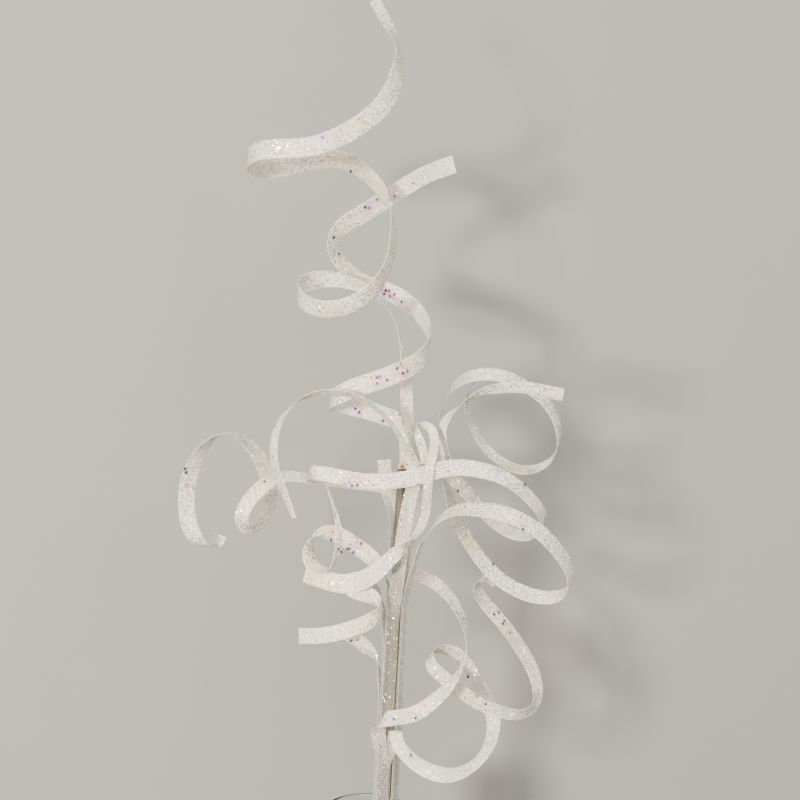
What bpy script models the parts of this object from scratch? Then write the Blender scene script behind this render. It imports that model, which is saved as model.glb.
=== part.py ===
"""A curly willow spray standing in a clear glass vase.

Thirteen flat strips, each curled into its own loose coil, are bundled by their straight shanks round a thin
brown stick, and the bundle leans on the rim of a tapered glass vase. Lengths below are in millimetres and
turned into metres where a mesh is made. The origin is the centre of the vase's foot, +Z is up, and the
spray is seen from the front along +Y with +X to the right.

Each strip's route is drawn as a front view: x to the right of the sight line, z above it, and depth behind
the plane of the stem. from_front() carries that drawing into space for the eye given below.
"""

import math

import bpy
import numpy as np

MM = 0.001

# The eye that the front view is drawn for: right of the vase's axis, above its foot, in front of the stem.
EYE_RIGHT = 20.4
EYE_UP = 433.0
EYE_AWAY = 750.0

# Vase
VASE_HEIGHT = 190.0
RIM_RADIUS = 23.4
FOOT_RADIUS = 31.0
WALL = 2.0
FLOOR = 12.0
FOOT_BEVEL = 2.0
RIM_ROUND = 1.0
FLARE = 1.6
VASE_SIDES = 56
VASE_LEVELS = 7

# Brown stick in the middle of the bundle
STICK_FOOT_RADIUS = 4.2
STICK_TOP_RADIUS = 2.7
STICK_TOP = 393.0
STICK_TAPER_FROM = 330.0
STICK_SIDES = 12
STICK_LEVELS = 14
CUT_SLOPE = 1.0
CLEARANCE = 0.3

# Centre line of the bundle as (height, x), from the vase's floor to the crown; its depth is zero throughout
BUNDLE_LINE = (
    (12.0, 2.4), (193.0, 12.2), (259.0, 15.8), (313.0, 18.7), (373.0, 20.8), (415.0, 22.6), (466.0, 23.2),
)

# Shanks lie flat in layers on the four sides of the stick, each side's strip reaching past its neighbour's
STRIP_THICKNESS = 0.7
SHANK_WIDTH = 9.0
LAYER_PITCH = 1.0
FIRST_LAYER = STICK_FOOT_RADIUS + CLEARANCE
SHANK_SHIFT = -0.4
SIDES = {"right": -25.0, "back": 65.0, "left": 155.0, "front": 245.0}
SHANK_STEP = 1.0

# How finely a strip is divided: the longest straight step and the widest turn between two stations
LONGEST_STEP = 30.0
WIDEST_TURN = math.radians(13.0)
WIDENING = 60.0
SMOOTHINGS = 60


def clear_scene():
    """Remove every object that the file opened with."""
    for item in list(bpy.data.objects):
        bpy.data.objects.remove(item, do_unlink=True)


def principled(name, colour, roughness, transmission=0.0, alpha=1.0):
    """A plain Principled material; colour is linear RGB."""
    material = bpy.data.materials.new(name)
    material.use_nodes = True
    shader = material.node_tree.nodes["Principled BSDF"]
    shader.inputs["Base Color"].default_value = (*colour, 1.0)
    shader.inputs["Roughness"].default_value = roughness
    shader.inputs["Metallic"].default_value = 0.0
    shader.inputs["Transmission Weight"].default_value = transmission
    shader.inputs["Alpha"].default_value = alpha
    return material


def add_object(name, points, faces, material, parent, place):
    """One mesh object whose points are given in millimetres of the whole spray and kept about its place."""
    mesh = bpy.data.meshes.new(name)
    local = (np.asarray(points) - np.asarray(place)) * MM
    mesh.from_pydata(local.tolist(), [], faces)
    mesh.update()
    mesh.shade_smooth()
    mesh.set_sharp_from_angle(angle=math.radians(35.0))
    mesh.materials.append(material)
    item = bpy.data.objects.new(name, mesh)
    item.location = np.asarray(place) * MM
    item.parent = parent
    bpy.context.scene.collection.objects.link(item)
    return item


def from_front(drawn):
    """Points (x, z, depth) of the front view as points (x, y, z) in space, in millimetres."""
    x, z, depth = np.asarray(drawn, dtype=float).T
    spread = (EYE_AWAY + depth) / EYE_AWAY
    return np.column_stack((EYE_RIGHT + x * spread, depth, EYE_UP + z * spread))


def cubic_through(keys, values, at, first_slope=None):
    """Cubic spline through values at keys, read at the given parameters; its ends are free of bending.

    With a first_slope it sets off in that direction instead of free of bending.
    """
    keys = np.asarray(keys, dtype=float)
    values = np.asarray(values, dtype=float)
    steps = np.diff(keys)[:, None]
    slopes = np.diff(values, axis=0) / steps
    count = len(keys)
    matrix = np.zeros((count, count))
    matrix[0, 0] = matrix[-1, -1] = 1.0
    right = np.zeros_like(values)
    for i in range(1, count - 1):
        matrix[i, i - 1] = steps[i - 1, 0]
        matrix[i, i] = 2.0 * (steps[i - 1, 0] + steps[i, 0])
        matrix[i, i + 1] = steps[i, 0]
        right[i] = 6.0 * (slopes[i] - slopes[i - 1])
    if first_slope is not None:
        matrix[0, :2] = 2.0 * steps[0, 0], steps[0, 0]
        right[0] = 6.0 * (slopes[0] - first_slope)
    bend = np.linalg.solve(matrix, right)
    span = np.clip(np.searchsorted(keys, at, side="right") - 1, 0, count - 2)
    before = (at - keys[span])[:, None]
    width = steps[span]
    after = width - before
    return (
        (bend[span] * after**3 + bend[span + 1] * before**3) / (6.0 * width)
        + (values[span] / width - bend[span] * width / 6.0) * after
        + (values[span + 1] / width - bend[span + 1] * width / 6.0) * before
    )


def bundle_centre(heights):
    """Centre of the bundle at the given heights, as points in space."""
    heights = np.asarray(heights, dtype=float)
    keys = [height for height, _ in BUNDLE_LINE]
    across = cubic_through(keys, [[x] for _, x in BUNDLE_LINE], heights)[:, 0]
    return np.column_stack((across, np.zeros(len(heights)), heights))


def shank(side, layer, foot, top):
    """Route and width directions of a strip's straight shank, on one side of the stick and in one layer."""
    angle = math.radians(SIDES[side])
    outward = np.array([math.cos(angle), math.sin(angle), 0.0])
    along_side = np.array([-math.sin(angle), math.cos(angle), 0.0])
    reach = FIRST_LAYER + LAYER_PITCH * (layer - 1) + STRIP_THICKNESS / 2
    count = max(2, round((top - foot) / SHANK_STEP) + 1)
    points = bundle_centre(np.linspace(foot, top, count)) + outward * reach + along_side * SHANK_SHIFT
    return points, np.tile(along_side, (count, 1))


def coil_directions(count, axes):
    """Width direction wanted at each of count drawn points, blended between the axes given at some."""
    keys = sorted(axes)
    wanted = np.array([axes[key] for key in keys], dtype=float)
    wanted /= np.linalg.norm(wanted, axis=1)[:, None]
    return np.column_stack([np.interp(np.arange(count), keys, wanted[:, i]) for i in range(3)])


def keep_sense(directions):
    """Turn round each direction that points against the one before it: a strip has no front or back."""
    kept = directions.copy()
    for i in range(1, len(kept)):
        if kept[i] @ kept[i - 1] < 0.0:
            kept[i] = -kept[i]
    return kept


def unit(vectors):
    """The same vectors at length one."""
    return vectors / np.linalg.norm(vectors, axis=1)[:, None]


def square_to(tangents, directions):
    """The part of each direction that is square to its tangent, at length one."""
    along = np.sum(directions * tangents, axis=1)[:, None]
    return unit(directions - along * tangents)


def follow_route(points, directions, first_slope=None):
    """A smooth path through the points, about one a millimetre, and the width directions blended along it."""
    reach = np.concatenate(([0.0], np.cumsum(np.linalg.norm(np.diff(points, axis=0), axis=1))))
    at = np.linspace(0.0, reach[-1], int(reach[-1]) + 1)
    path = cubic_through(reach, points, at, first_slope)
    kept = keep_sense(directions)
    across = np.column_stack([np.interp(at, reach, kept[:, i]) for i in range(3)])
    return path, across


def even_out(path, across, fixed):
    """Tangents of the path, and its width directions squared to them and smoothed past the fixed ones."""
    tangents = unit(np.gradient(path, axis=0))
    across = square_to(tangents, across)
    first = max(fixed, 1)
    for _ in range(SMOOTHINGS):
        across[first:-1] = (across[first - 1:-2] + 2.0 * across[first:-1] + across[first + 1:]) / 4.0
        across = square_to(tangents, across)
    return tangents, across


def choose_stations(path, tangents, across):
    """Indices along the path, close together where it bends or twists and far apart where it's straight."""
    step = np.linalg.norm(np.diff(path, axis=0), axis=1)
    bend = np.arccos(np.clip(np.sum(tangents[:-1] * tangents[1:], axis=1), -1.0, 1.0))
    twist = np.arccos(np.clip(np.sum(across[:-1] * across[1:], axis=1), -1.0, 1.0))
    effort = np.concatenate(([0.0], np.cumsum(step / LONGEST_STEP + np.maximum(bend, twist) / WIDEST_TURN)))
    wanted = np.linspace(0.0, effort[-1], int(math.ceil(effort[-1])) + 1)
    return np.unique(np.searchsorted(effort, wanted).clip(0, len(path) - 1))


def smooth_ramp(value):
    """0 below 0, 1 above 1 and an S-shaped rise between."""
    value = np.clip(value, 0.0, 1.0)
    return value * value * (3.0 - 2.0 * value)


def widths_along(path, start, slim, curl, tip, taper):
    """Width at each point: its first width for a length of slim, its full width in the curl, then its tip."""
    run = np.concatenate(([0.0], np.cumsum(np.linalg.norm(np.diff(path, axis=0), axis=1))))
    width = start + (curl - start) * smooth_ramp((run - slim) / WIDENING)
    left = run[-1] - run
    return tip + (width - tip) * smooth_ramp(left / taper) if taper else width


def strip_faces(stations):
    """Triangles of a four-cornered band, its two broad faces split along the same diagonals."""
    faces = [(0, 3, 2), (0, 2, 1)]
    for i in range(stations - 1):
        low = [4 * i + k for k in range(4)]
        high = [corner + 4 for corner in low]
        for k in (0, 1):
            faces.append((low[k], low[k + 1], high[k + 1]))
            faces.append((low[k], high[k + 1], high[k]))
        for k in (2, 3):
            after = (k + 1) % 4
            faces.append((low[k], low[after], high[k]))
            faces.append((low[after], high[after], high[k]))
    end = 4 * (stations - 1)
    faces += [(end, end + 1, end + 2), (end, end + 2, end + 3)]
    return faces


def add_strip(name, parent, drawn, axes, curl, held=None, start=SHANK_WIDTH, slim=0.0, tip=0.0, taper=0.0):
    """One flat strip: its shank in the bundle if it has one, then its drawn curl.

    held is (side, layer, foot, top) of the shank. axes gives the width direction at some of the drawn
    points. curl is the strip's full width, start its width before that for a length of slim past the
    shank, and tip and taper are its last width and how long the strip takes to reach it.
    """
    points = from_front(drawn)
    directions = coil_directions(len(points), axes)
    if held:
        slim += held[3] - held[2]
        straight, flat = shank(*held)
        set_off = unit(straight[-1:] - straight[-2:-1])[0]
        points = np.vstack((straight[-1:], points))
        directions = np.vstack((flat[-1:], directions))
        path, across = follow_route(points, directions, set_off)
        path = np.vstack((straight[:-1], path))
        across = np.vstack((flat[:-1], across))
        tangents, across = even_out(path, across, len(straight))
    else:
        path, across = follow_route(points, directions)
        tangents, across = even_out(path, across, 0)
    width = widths_along(path, start, slim, curl, tip, taper)[:, None]
    chosen = choose_stations(path, tangents, across)
    centre = path[chosen]
    half = across[chosen] * width[chosen] / 2
    lift = np.cross(tangents[chosen], across[chosen]) * STRIP_THICKNESS / 2
    under, over = centre - lift, centre + lift
    corners = np.stack((under - half, under + half, over + half, over - half), axis=1)
    material = principled(name + "_strip", (0.83, 0.81, 0.75), 0.45)
    return add_object(name, corners.reshape(-1, 3), strip_faces(len(chosen)), material, parent, centre[0])


def turned_faces(levels, sides):
    """Faces between rings of points, round and round."""
    faces = []
    for i in range(levels - 1):
        for k in range(sides):
            after = (k + 1) % sides
            faces.append((i * sides + k, i * sides + after, (i + 1) * sides + after, (i + 1) * sides + k))
    return faces


def add_vase(parent):
    """A tapered glass with a thick floor, turned from its profile: up outside, over the rim and down."""
    share = np.linspace(0.0, 1.0, VASE_LEVELS)
    top = VASE_HEIGHT - RIM_ROUND
    outer_radius = RIM_RADIUS + (FOOT_RADIUS - RIM_RADIUS) * (1.0 - share) ** FLARE
    outer_height = FOOT_BEVEL + (top - FOOT_BEVEL) * share
    inner_height = np.linspace(FLOOR, top, VASE_LEVELS)
    inner_radius = np.interp(inner_height, outer_height, outer_radius) - WALL
    rim_middle = RIM_RADIUS - WALL / 2
    profile = [(FOOT_RADIUS - FOOT_BEVEL, 0.0)]
    profile += list(zip(outer_radius, outer_height))
    profile += [(rim_middle + WALL / 4, VASE_HEIGHT), (rim_middle - WALL / 4, VASE_HEIGHT)]
    profile += list(zip(inner_radius[::-1], inner_height[::-1]))
    turn = np.linspace(0.0, 2.0 * math.pi, VASE_SIDES, endpoint=False)
    points = [(r * math.cos(a), r * math.sin(a), z) for r, z in profile for a in turn]
    faces = turned_faces(len(profile), VASE_SIDES)
    last = (len(profile) - 1) * VASE_SIDES
    points += [(0.0, 0.0, 0.0), (0.0, 0.0, FLOOR)]
    under, over = len(points) - 2, len(points) - 1
    for k in range(VASE_SIDES):
        after = (k + 1) % VASE_SIDES
        faces.append((under, after, k))
        faces.append((over, last + k, last + after))
    glass = principled("clear_glass", (0.95, 0.97, 0.96), 0.03, transmission=1.0)
    return add_object("vase", points, faces, glass, parent, (0.0, 0.0, 0.0))


def add_stick(parent):
    """The tapered brown stick, cut square at its foot and on a slant that faces the front at its top."""
    heights = np.linspace(FLOOR + CLEARANCE, STICK_TOP, STICK_LEVELS)
    centres = bundle_centre(heights)
    share = smooth_ramp((heights - STICK_TAPER_FROM) / (STICK_TOP - STICK_TAPER_FROM))
    radii = STICK_FOOT_RADIUS + (STICK_TOP_RADIUS - STICK_FOOT_RADIUS) * share
    turn = np.linspace(0.0, 2.0 * math.pi, STICK_SIDES, endpoint=False)
    ring = np.column_stack((np.cos(turn), np.sin(turn), np.zeros(STICK_SIDES)))
    points = [centre + ring * radius for centre, radius in zip(centres, radii)]
    points[-1][:, 2] += CUT_SLOPE * ring[:, 1] * radii[-1]
    faces = turned_faces(STICK_LEVELS, STICK_SIDES)
    top = (STICK_LEVELS - 1) * STICK_SIDES
    faces.append(tuple(range(STICK_SIDES))[::-1])
    faces.append(tuple(top + k for k in range(STICK_SIDES)))
    brown = principled("bare_stick", (0.30, 0.19, 0.10), 0.75)
    return add_object("stem_core", np.vstack(points), faces, brown, parent, centres[0])


UPRIGHT = (0.05, 0.0, 1.0)


def add_crown(parent):
    """The tall helix at the top, over two turns up from the end of the bundle."""
    drawn = [
        (7.5, -78, -1), (9.3, -62, -1), (9.2, -44, -1), (7, -28, -1.5), (4.5, -12, -2), (4, 6, -2),
        (3, 22, -1), (0.5, 36, 2), (-2.5, 47, 7), (-8, 56.5, 13), (-16, 64, 20), (-27, 69.5, 24),
        (-39, 72.5, 25), (-52, 71.5, 19), (-61, 66, 4), (-58, 59, -12), (-45.5, 54.5, -23), (-30, 57, -27),
        (-16.5, 66, -24), (-7.5, 80, -15), (-4, 96, -5), (-4.8, 112, 3), (-11, 126, 12), (-21, 136, 22),
        (-33, 143.5, 31), (-50, 144, 36), (-68, 140, 31), (-84, 138, 18), (-91.5, 143, 2),
        (-86, 149, -16), (-70, 151, -30), (-52, 152.5, -38), (-33.5, 159.5, -38), (-17.5, 170, -32),
        (-7.5, 181, -24), (-2.6, 192, -14), (-0.4, 202.5, -4), (-0.8, 211, 4), (-4, 219.5, 12),
        (-9.3, 229.5, 19), (-15.3, 240, 25),
    ]
    axes = {
        0: (1, 0.2, 0), 5: (1, 0.3, 0), 6: (0.7, 0.7, 0), 7: (0.1, 1, 0), 9: (0.1, 0.9, 0.3),
        12: (0, 0.45, 0.9), 14: UPRIGHT, 16: (0, -0.6, 0.8), 18: (-0.1, -0.5, 0.8), 20: (-0.35, -0.9, 0.2),
        21: (-0.2, -0.85, 0.35), 22: (0.2, -0.6, 0.75), 24: (0.1, -0.45, 0.85), 27: UPRIGHT, 31: UPRIGHT, 34: (-0.8, -0.1, 0.6),
        36: (-0.4, -0.7, 0.6), 37: (-0.38, -0.7, 0.55), 39: (-0.85, -0.3, -0.2), 40: (-0.85, -0.1, -0.4),
    }
    held = ("right", 1, 20.0, 337.0)
    add_strip("curl_crown", parent, drawn, axes, 11.5, held, start=8.0, slim=130.0, tip=7.0, taper=60.0)


def add_collar(parent):
    """Leaves the bundle at the back, winds once round its top and ends square at the upper right."""
    drawn = [
        (4, -28, 7), (2, -16, 9), (-8, -10, 13), (-24, -5, 16), (-37, -2, 12), (-42.5, -0.5, 2),
        (-39, 2, -10), (-28, 7, -19), (-13, 12, -22), (2, 18, -21), (12, 24, -15), (17.5, 32, -5),
        (17, 42, 8), (12, 51, 21), (4, 58.5, 30), (-7, 65, 35), (-21, 70.5, 37), (-32, 79, 33),
        (-39.5, 91, 27), (-36, 102, 23), (-27, 109, 22), (-14, 117, 22), (0, 126, 22), (13, 134, 20),
        (32.5, 141.5, 16),
    ]
    axes = {
        0: (1, -0.4, 0), 2: UPRIGHT, 14: UPRIGHT, 16: (0.3, 0.4, 0.85), 18: (0.7, 0.7, 0.1),
        20: (0.5, 0.3, -0.8), 21: (-0.05, 0, -1), 24: (-0.05, 0, -1),
    }
    add_strip("curl_collar", parent, drawn, axes, 11.5, ("back", 1, 17.0, 385.0))


def add_long_arc(parent):
    """Crosses the stick from left to right, then makes the big narrow arc at the left, slimmer at its end."""
    drawn = [
        (-1.5, -108, -8), (1.5, -84, -9), (5.5, -62, -8), (8.3, -48, -6), (7.5, -38, -7.5),
        (2.5, -26, -13), (-6, -13, -19), (-20, -1, -24), (-37, 4.5, -27), (-53.5, 3, -28),
        (-67, -5.5, -29), (-74, -17.5, -30), (-76, -30, -30), (-74.7, -42, -30), (-70, -54.5, -30),
        (-63.5, -71, -30),
    ]
    axes = {
        0: (0.94, -0.33, 0), 3: (1, 0.1, 0), 4: (0.9, -0.25, 0), 5: (0.3, -0.9, 0.2), 7: (0.15, -0.9, 0.35),
        9: (0.4, -0.8, 0.4), 12: (0.6, -0.75, 0), 15: (0.65, -0.7, -0.1),
    }
    add_strip("curl_long_arc", parent, drawn, axes, 8.5, ("front", 1, 23.0, 300.0), tip=4.5, taper=22.0)


def add_cross_band(parent):
    """From its square left end across the bundle's front, through a ring at the right, to a square end."""
    drawn = [
        (-54.5, -43.5, -3), (-45, -44.5, -4.5), (-30, -47.5, -7), (-15, -49, -9.5), (0, -48, -11.2),
        (10, -46, -11.4), (18, -43.5, -11.4), (27, -41.5, -11.6), (36, -40.5, -12), (48, -42, -12.5),
        (60, -45.5, -11), (72, -53, -8), (82, -63.5, -3), (86, -73, 3), (81, -80.5, 9), (71, -81, 13),
        (60, -75.5, 14), (48, -64.5, 12), (38, -53, 8), (31.5, -46, 6), (27, -37, 5), (25, -26, 4),
        (26, -15, 2), (31, -8, -1), (40, -0.5, -5), (49, 4.5, -6), (61, 7, -7), (73, 7.5, -8),
        (86, 5.5, -9), (98, 3, -10),
    ]
    axes = {
        0: (0, 0.1, 1), 3: (0, 0, 1), 7: (0.1, 0, 1), 12: (0.5, 0.7, 0.5), 18: (0.5, 0.6, 0.6),
        21: (0.6, -0.7, 0.1), 24: (0.5, -0.7, 0.5), 29: (0.2, -0.3, 0.9),
    }
    add_strip("curl_cross_band", parent, drawn, axes, 10.0, tip=8.0, taper=170.0)


def add_far_left(parent):
    """From the back of the bundle behind the cross band, out to the left in a small loop and a wide arc."""
    drawn = [
        (0, -66, 8), (-2.5, -57, 10.5), (-10, -51.5, 12), (-24, -49.5, 10), (-40, -48, 6),
        (-56, -46.5, 2), (-66, -45.5, -1), (-75, -47, -5), (-84, -53, -8), (-91, -61, -9),
        (-95, -69.5, -6), (-93.5, -76, 0), (-88, -77.5, 6), (-82, -72, 11), (-78.5, -62, 14),
        (-79, -50, 14), (-82, -39, 12), (-88, -29.5, 8), (-96, -22.5, 3), (-104.5, -21, -3),
        (-112.5, -24, -9), (-119.5, -31, -12), (-124.5, -40.5, -12), (-127.5, -52, -10), (-128, -64, -7),
        (-126, -76, -4), (-121.5, -84.5, 1), (-116, -88, 7), (-111, -86.5, 12), (-108, -81, 14),
    ]
    axes = {
        0: (0.9, -0.4, 0), 2: (0, 0.2, 1), 5: (-0.1, 0.8, 0.55), 8: (-0.5, 0.5, 0.7),
        10: (-0.85, 0.4, 0.3), 12: (-0.15, 0.6, -0.75), 14: (0.85, 0.45, -0.15), 16: (0.85, 0.5, 0.1),
        18: (0.3, 0.9, 0.3), 20: (0.4, 0.9, 0), 23: (0.95, 0.3, -0.1), 25: (0.95, 0.1, 0.2),
        27: (0.75, -0.6, 0.1), 29: (0.85, -0.3, -0.4),
    }
    add_strip("curl_far_left", parent, drawn, axes, 10.0, ("back", 2, 26.0, 350.0))


def add_left_loop(parent):
    """A small loop at the left of the stem, ending in a point behind the cross band."""
    drawn = [
        (-7.5, -110, 3), (-11, -102, 2), (-19, -93, 1), (-31, -84.5, 3), (-43, -79.5, 5), (-50.5, -82, 3),
        (-53.8, -88.5, -2), (-53.8, -96, -7.5), (-48.5, -102, -13), (-41.5, -100.5, -16), (-37.5, -92, -15.5),
        (-36.5, -81, -13), (-38, -70, -10), (-41, -60, -6.5), (-43.8, -52, -3),
    ]
    axes = {
        0: (-0.4, -0.7, 0.3), 2: (0.3, 0.1, 0.9), 4: (0.2, 0.3, 0.9), 6: (0.5, 0.8, 0.3), 8: (0.3, 0.7, 0.7),
        11: (0.8, 0.6, 0.2), 14: (0.5, 0.8, 0),
    }
    add_strip("curl_left_loop", parent, drawn, axes, 10.0, ("left", 1, 20.0, 306.0), tip=2.0, taper=75.0)


def add_left_shelf(parent):
    """A tight turn at the stem's left, then out to the square end of the left shelf."""
    drawn = [
        (-9.5, -131, 3.5), (-12, -118, 3), (-19, -109.5, 4), (-28, -107.5, 4), (-33.5, -110, 1.5),
        (-31, -113, -4), (-23, -116, -7.5), (-14, -120, -10), (-12, -125, -12.5), (-16, -131, -14),
        (-27, -136.5, -15), (-39, -140, -14), (-50, -141.5, -12), (-60.5, -141.5, -9),
    ]
    axes = {0: (-0.42, -0.9, 0), 2: (0.1, 0, 1), 13: (0.1, 0, 1)}
    add_strip("curl_left_shelf", parent, drawn, axes, 9.5, ("left", 2, 29.0, 284.0))


def add_left_spur(parent):
    """A short strip that leaves the bundle low on the left and ends behind the shelf."""
    drawn = [(-12, -165, 3), (-16, -154, 1), (-23, -146, -3), (-29, -141.5, -5), (-34.5, -139, -6)]
    axes = {0: (-0.42, -0.9, 0), 2: (0.4, 0.1, 0.9)}
    add_strip("curl_left_spur", parent, drawn, axes, 8.0, ("left", 3, 23.0, 250.0))


def add_small_loop(parent):
    """A small loop right of the bundle, down its side, then across its front to a square left end."""
    drawn = [
        (15, -38, -7.5), (13, -28, -8), (10, -20.5, -7.5), (9.5, -17, -4.5), (13, -15.5, -2),
        (17.5, -16.5, -1), (20.5, -23, -5), (20, -31, -10.5), (18.5, -38, -12.8), (17, -48, -13.1),
        (16.3, -57, -10.5), (15.5, -66, -8), (13.5, -74, -9.5), (9.5, -80.5, -14), (3, -87, -18),
        (-5, -94.5, -18), (-14, -103, -15), (-25, -109, -12.5), (-37, -110, -9), (-48, -107, -5.5),
        (-57, -104, -2.5),
    ]
    axes = {
        0: (1, 0, 0.3), 2: (1, 0, 0.3), 4: (0, 0.3, 0.9), 6: (0.9, 0, 0.2), 8: (1, -0.1, 0),
        12: (1, -0.2, 0), 14: (0.7, 0, 0.7), 16: (0.2, 0, 1), 20: (0, 0, 1),
    }
    add_strip("curl_small_loop", parent, drawn, axes, 11.5, start=5.5, slim=92.0)


def add_right_rings(parent):
    """The two largest rings, at the right, one above the other."""
    drawn = [
        (5, -112, -3.5), (9, -98, -4), (13, -86, -5), (18, -78, -8), (24, -71, -12), (32, -66.5, -16),
        (45, -65.5, -20), (60, -67.5, -22), (73, -72.5, -22), (86, -81, -18), (97, -93.5, -10),
        (102.5, -107, 2), (99, -115.5, 9), (88, -118.5, 15), (74, -115.5, 20), (60, -107.5, 23),
        (48, -95, 24), (39, -81, 22), (33, -69, 20), (30, -58, 18), (27.5, -45, 16), (25.5, -30, 14),
        (24.5, -17, 12), (25.5, -5, 10), (30, 5.5, 8), (38, 12.5, 6), (50, 15.5, 5), (61, 14.5, 5),
        (74, 9, 7), (86, 0.5, 11), (93.5, -11.5, 16), (95.5, -24, 21), (91.5, -34.5, 26), (82, -41, 30),
        (69, -41, 32), (57, -34, 32), (48, -24, 30), (42.5, -13, 27), (40, -2.5, 24), (41.5, 6, 21),
        (46, 12, 18),
    ]
    axes = {
        0: (0.42, 0.9, 0), 4: (0.2, 0.8, 0.5), 7: (0.35, 0.4, 0.85), 9: (0.45, 0.45, 0.8),
        17: (0.5, 0.5, 0.7), 21: (0.35, 0.8, 0.4), 25: (0.35, 0.5, 0.75), 40: (0.4, 0.6, 0.6),
    }
    add_strip("curl_right_rings", parent, drawn, axes, 10.0, ("right", 2, 32.0, 303.0), tip=7.0, taper=230.0)


def add_low_right(parent):
    """Folds over at the front of the bundle and makes the double coil at the lower right."""
    drawn = [
        (-6.5, -211.5, -7.5), (-4.2, -204.5, -10.5), (-3.2, -199.5, -12.5), (-2.5, -198.5, -15.5),
        (-2, -203, -17.5), (1.5, -210.5, -17.5), (10, -218.5, -18), (20, -223.5, -18.5),
        (30.5, -225, -20), (42, -220.5, -20), (51, -211.5, -16), (55.5, -200, -8), (55.5, -189, 0),
        (50.5, -177, 8), (43.5, -164, 14), (35, -153, 16), (25.5, -149.5, 13), (18.5, -152.5, 8),
        (18.5, -158.5, 2), (25.5, -166, -3), (35.5, -174, -8), (47, -182, -11), (60, -187, -9),
        (71, -189, -4), (79.5, -185, 4), (82.5, -176, 13), (80, -163, 22), (73, -150, 29),
        (64, -137, 34), (54, -125, 37), (47.5, -116, 37), (46.5, -109, 35), (51, -106, 33),
        (58, -109, 32),
    ]
    axes = {
        0: (0.9, -0.4, 0), 3: (1, 0, 0), 4: (0.95, 0, 0.2), 6: (0.7, 0, 0.7), 8: (0.1, 0.65, 0.7),
        9: (-0.1, 0.9, 0.4), 10: (-0.35, 0.9, 0.2), 12: (-0.8, 0.6, 0.1), 15: (-0.5, 0.4, -0.6),
        17: (-0.6, 0.4, -0.6), 20: (-0.5, 0.4, -0.7), 23: (-0.2, 0.5, -0.8), 25: (0.6, 0.6, 0),
        27: (0.6, 0.5, 0.5), 33: (0.6, 0.5, 0.6),
    }
    add_strip("curl_low_right", parent, drawn, axes, 9.5, ("front", 2, 17.0, 209.0), start=7.0, slim=20.0)


def add_low_hook(parent):
    """Turns at the left of the bundle's front, crosses it and goes up in a hook that ends behind it."""
    drawn = [
        (-12.3, -206, -9.3), (-13, -198.5, -11.5), (-12, -193.5, -15.5), (-8, -191.5, -19),
        (-2, -190.5, -20.5), (5, -189.5, -20.5), (13, -186, -20.5), (22, -179, -20.5),
        (30.5, -170.5, -20.5), (36.5, -160, -18), (39.5, -148, -13), (38, -134, -4), (32.5, -122, 7),
        (25, -113, 15), (16, -107, 20), (4, -104, 21), (-5, -104, 17),
    ]
    axes = {
        0: (0.9, -0.4, 0), 1: (0.9, 0, 0.3), 3: (0.3, 0, 0.9), 5: (0, 0, 1), 7: (-0.2, 0.55, 0.75),
        8: (-0.15, 0.8, 0.45), 9: (0, 0.95, 0.25), 10: (0, 1, 0.2), 12: (0.4, 0.8, 0.3), 16: (0.4, 0, 0.9),
    }
    add_strip("curl_low_hook", parent, drawn, axes, 9.0, ("front", 3.4, 26.0, 216.0))


def add_stub(parent):
    """A strip cut short in the bundle, its square end leaning out beside the stick's cut end."""
    drawn = [(-7.5, -55, 1.5), (-9.5, -36, 1)]
    axes = {0: (0.9, 0.4, 0), 1: (0.9, 0.1, 0)}
    add_strip("curl_stub", parent, drawn, axes, 8.5, ("left", 1, 339.0, 357.0), start=7.6)


def main():
    clear_scene()
    spray = bpy.data.objects.new("spray", None)
    bpy.context.scene.collection.objects.link(spray)
    add_vase(spray)
    add_stick(spray)
    add_crown(spray)
    add_collar(spray)
    add_long_arc(spray)
    add_cross_band(spray)
    add_far_left(spray)
    add_left_loop(spray)
    add_left_shelf(spray)
    add_left_spur(spray)
    add_small_loop(spray)
    add_right_rings(spray)
    add_low_right(spray)
    add_low_hook(spray)
    add_stub(spray)
    bpy.context.view_layer.update()


main()
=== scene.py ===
# %% [markdown]
# # A curly willow spray in a clear glass vase
# The real thing is a made spray: thirteen flat strips of stiffened, glittered mesh, each curled into a
# loose coil and bundled by its straight end round a thin brown stick, standing in a tapered bud vase. The
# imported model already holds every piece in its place, so this lesson dresses it: each strip is drawn again
# along the same route, finer and thinner, then gets its mesh, its glitter and its film flakes.

import math

import bpy
import numpy as np
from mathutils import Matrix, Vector


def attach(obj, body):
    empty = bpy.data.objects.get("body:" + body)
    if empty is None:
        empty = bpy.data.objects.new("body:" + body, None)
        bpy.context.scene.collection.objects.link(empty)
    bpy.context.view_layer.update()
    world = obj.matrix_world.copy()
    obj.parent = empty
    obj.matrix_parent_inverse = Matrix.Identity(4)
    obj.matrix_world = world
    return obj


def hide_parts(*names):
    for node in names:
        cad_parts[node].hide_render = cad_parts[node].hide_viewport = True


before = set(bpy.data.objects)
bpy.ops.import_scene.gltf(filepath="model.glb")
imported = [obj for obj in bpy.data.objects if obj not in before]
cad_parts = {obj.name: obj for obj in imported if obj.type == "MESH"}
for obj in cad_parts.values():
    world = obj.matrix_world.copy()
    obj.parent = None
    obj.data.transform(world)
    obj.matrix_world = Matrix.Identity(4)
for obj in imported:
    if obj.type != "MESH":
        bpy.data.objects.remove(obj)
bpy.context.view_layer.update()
MM = 0.001
print("nodes:", ", ".join(sorted(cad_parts)))

# %% [markdown]
# ## Where the eye stands
# The spray is seen level, from 750 mm in front of the stem and 433 mm above the vase's foot. A lens of
# 56.25 mm on a 36 mm sensor takes in 480 mm across the stem's plane, so one millimetre there is 1.67 pixels
# of an 800 pixel picture. The same eye is used below to carry each route's front view into space.

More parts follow.
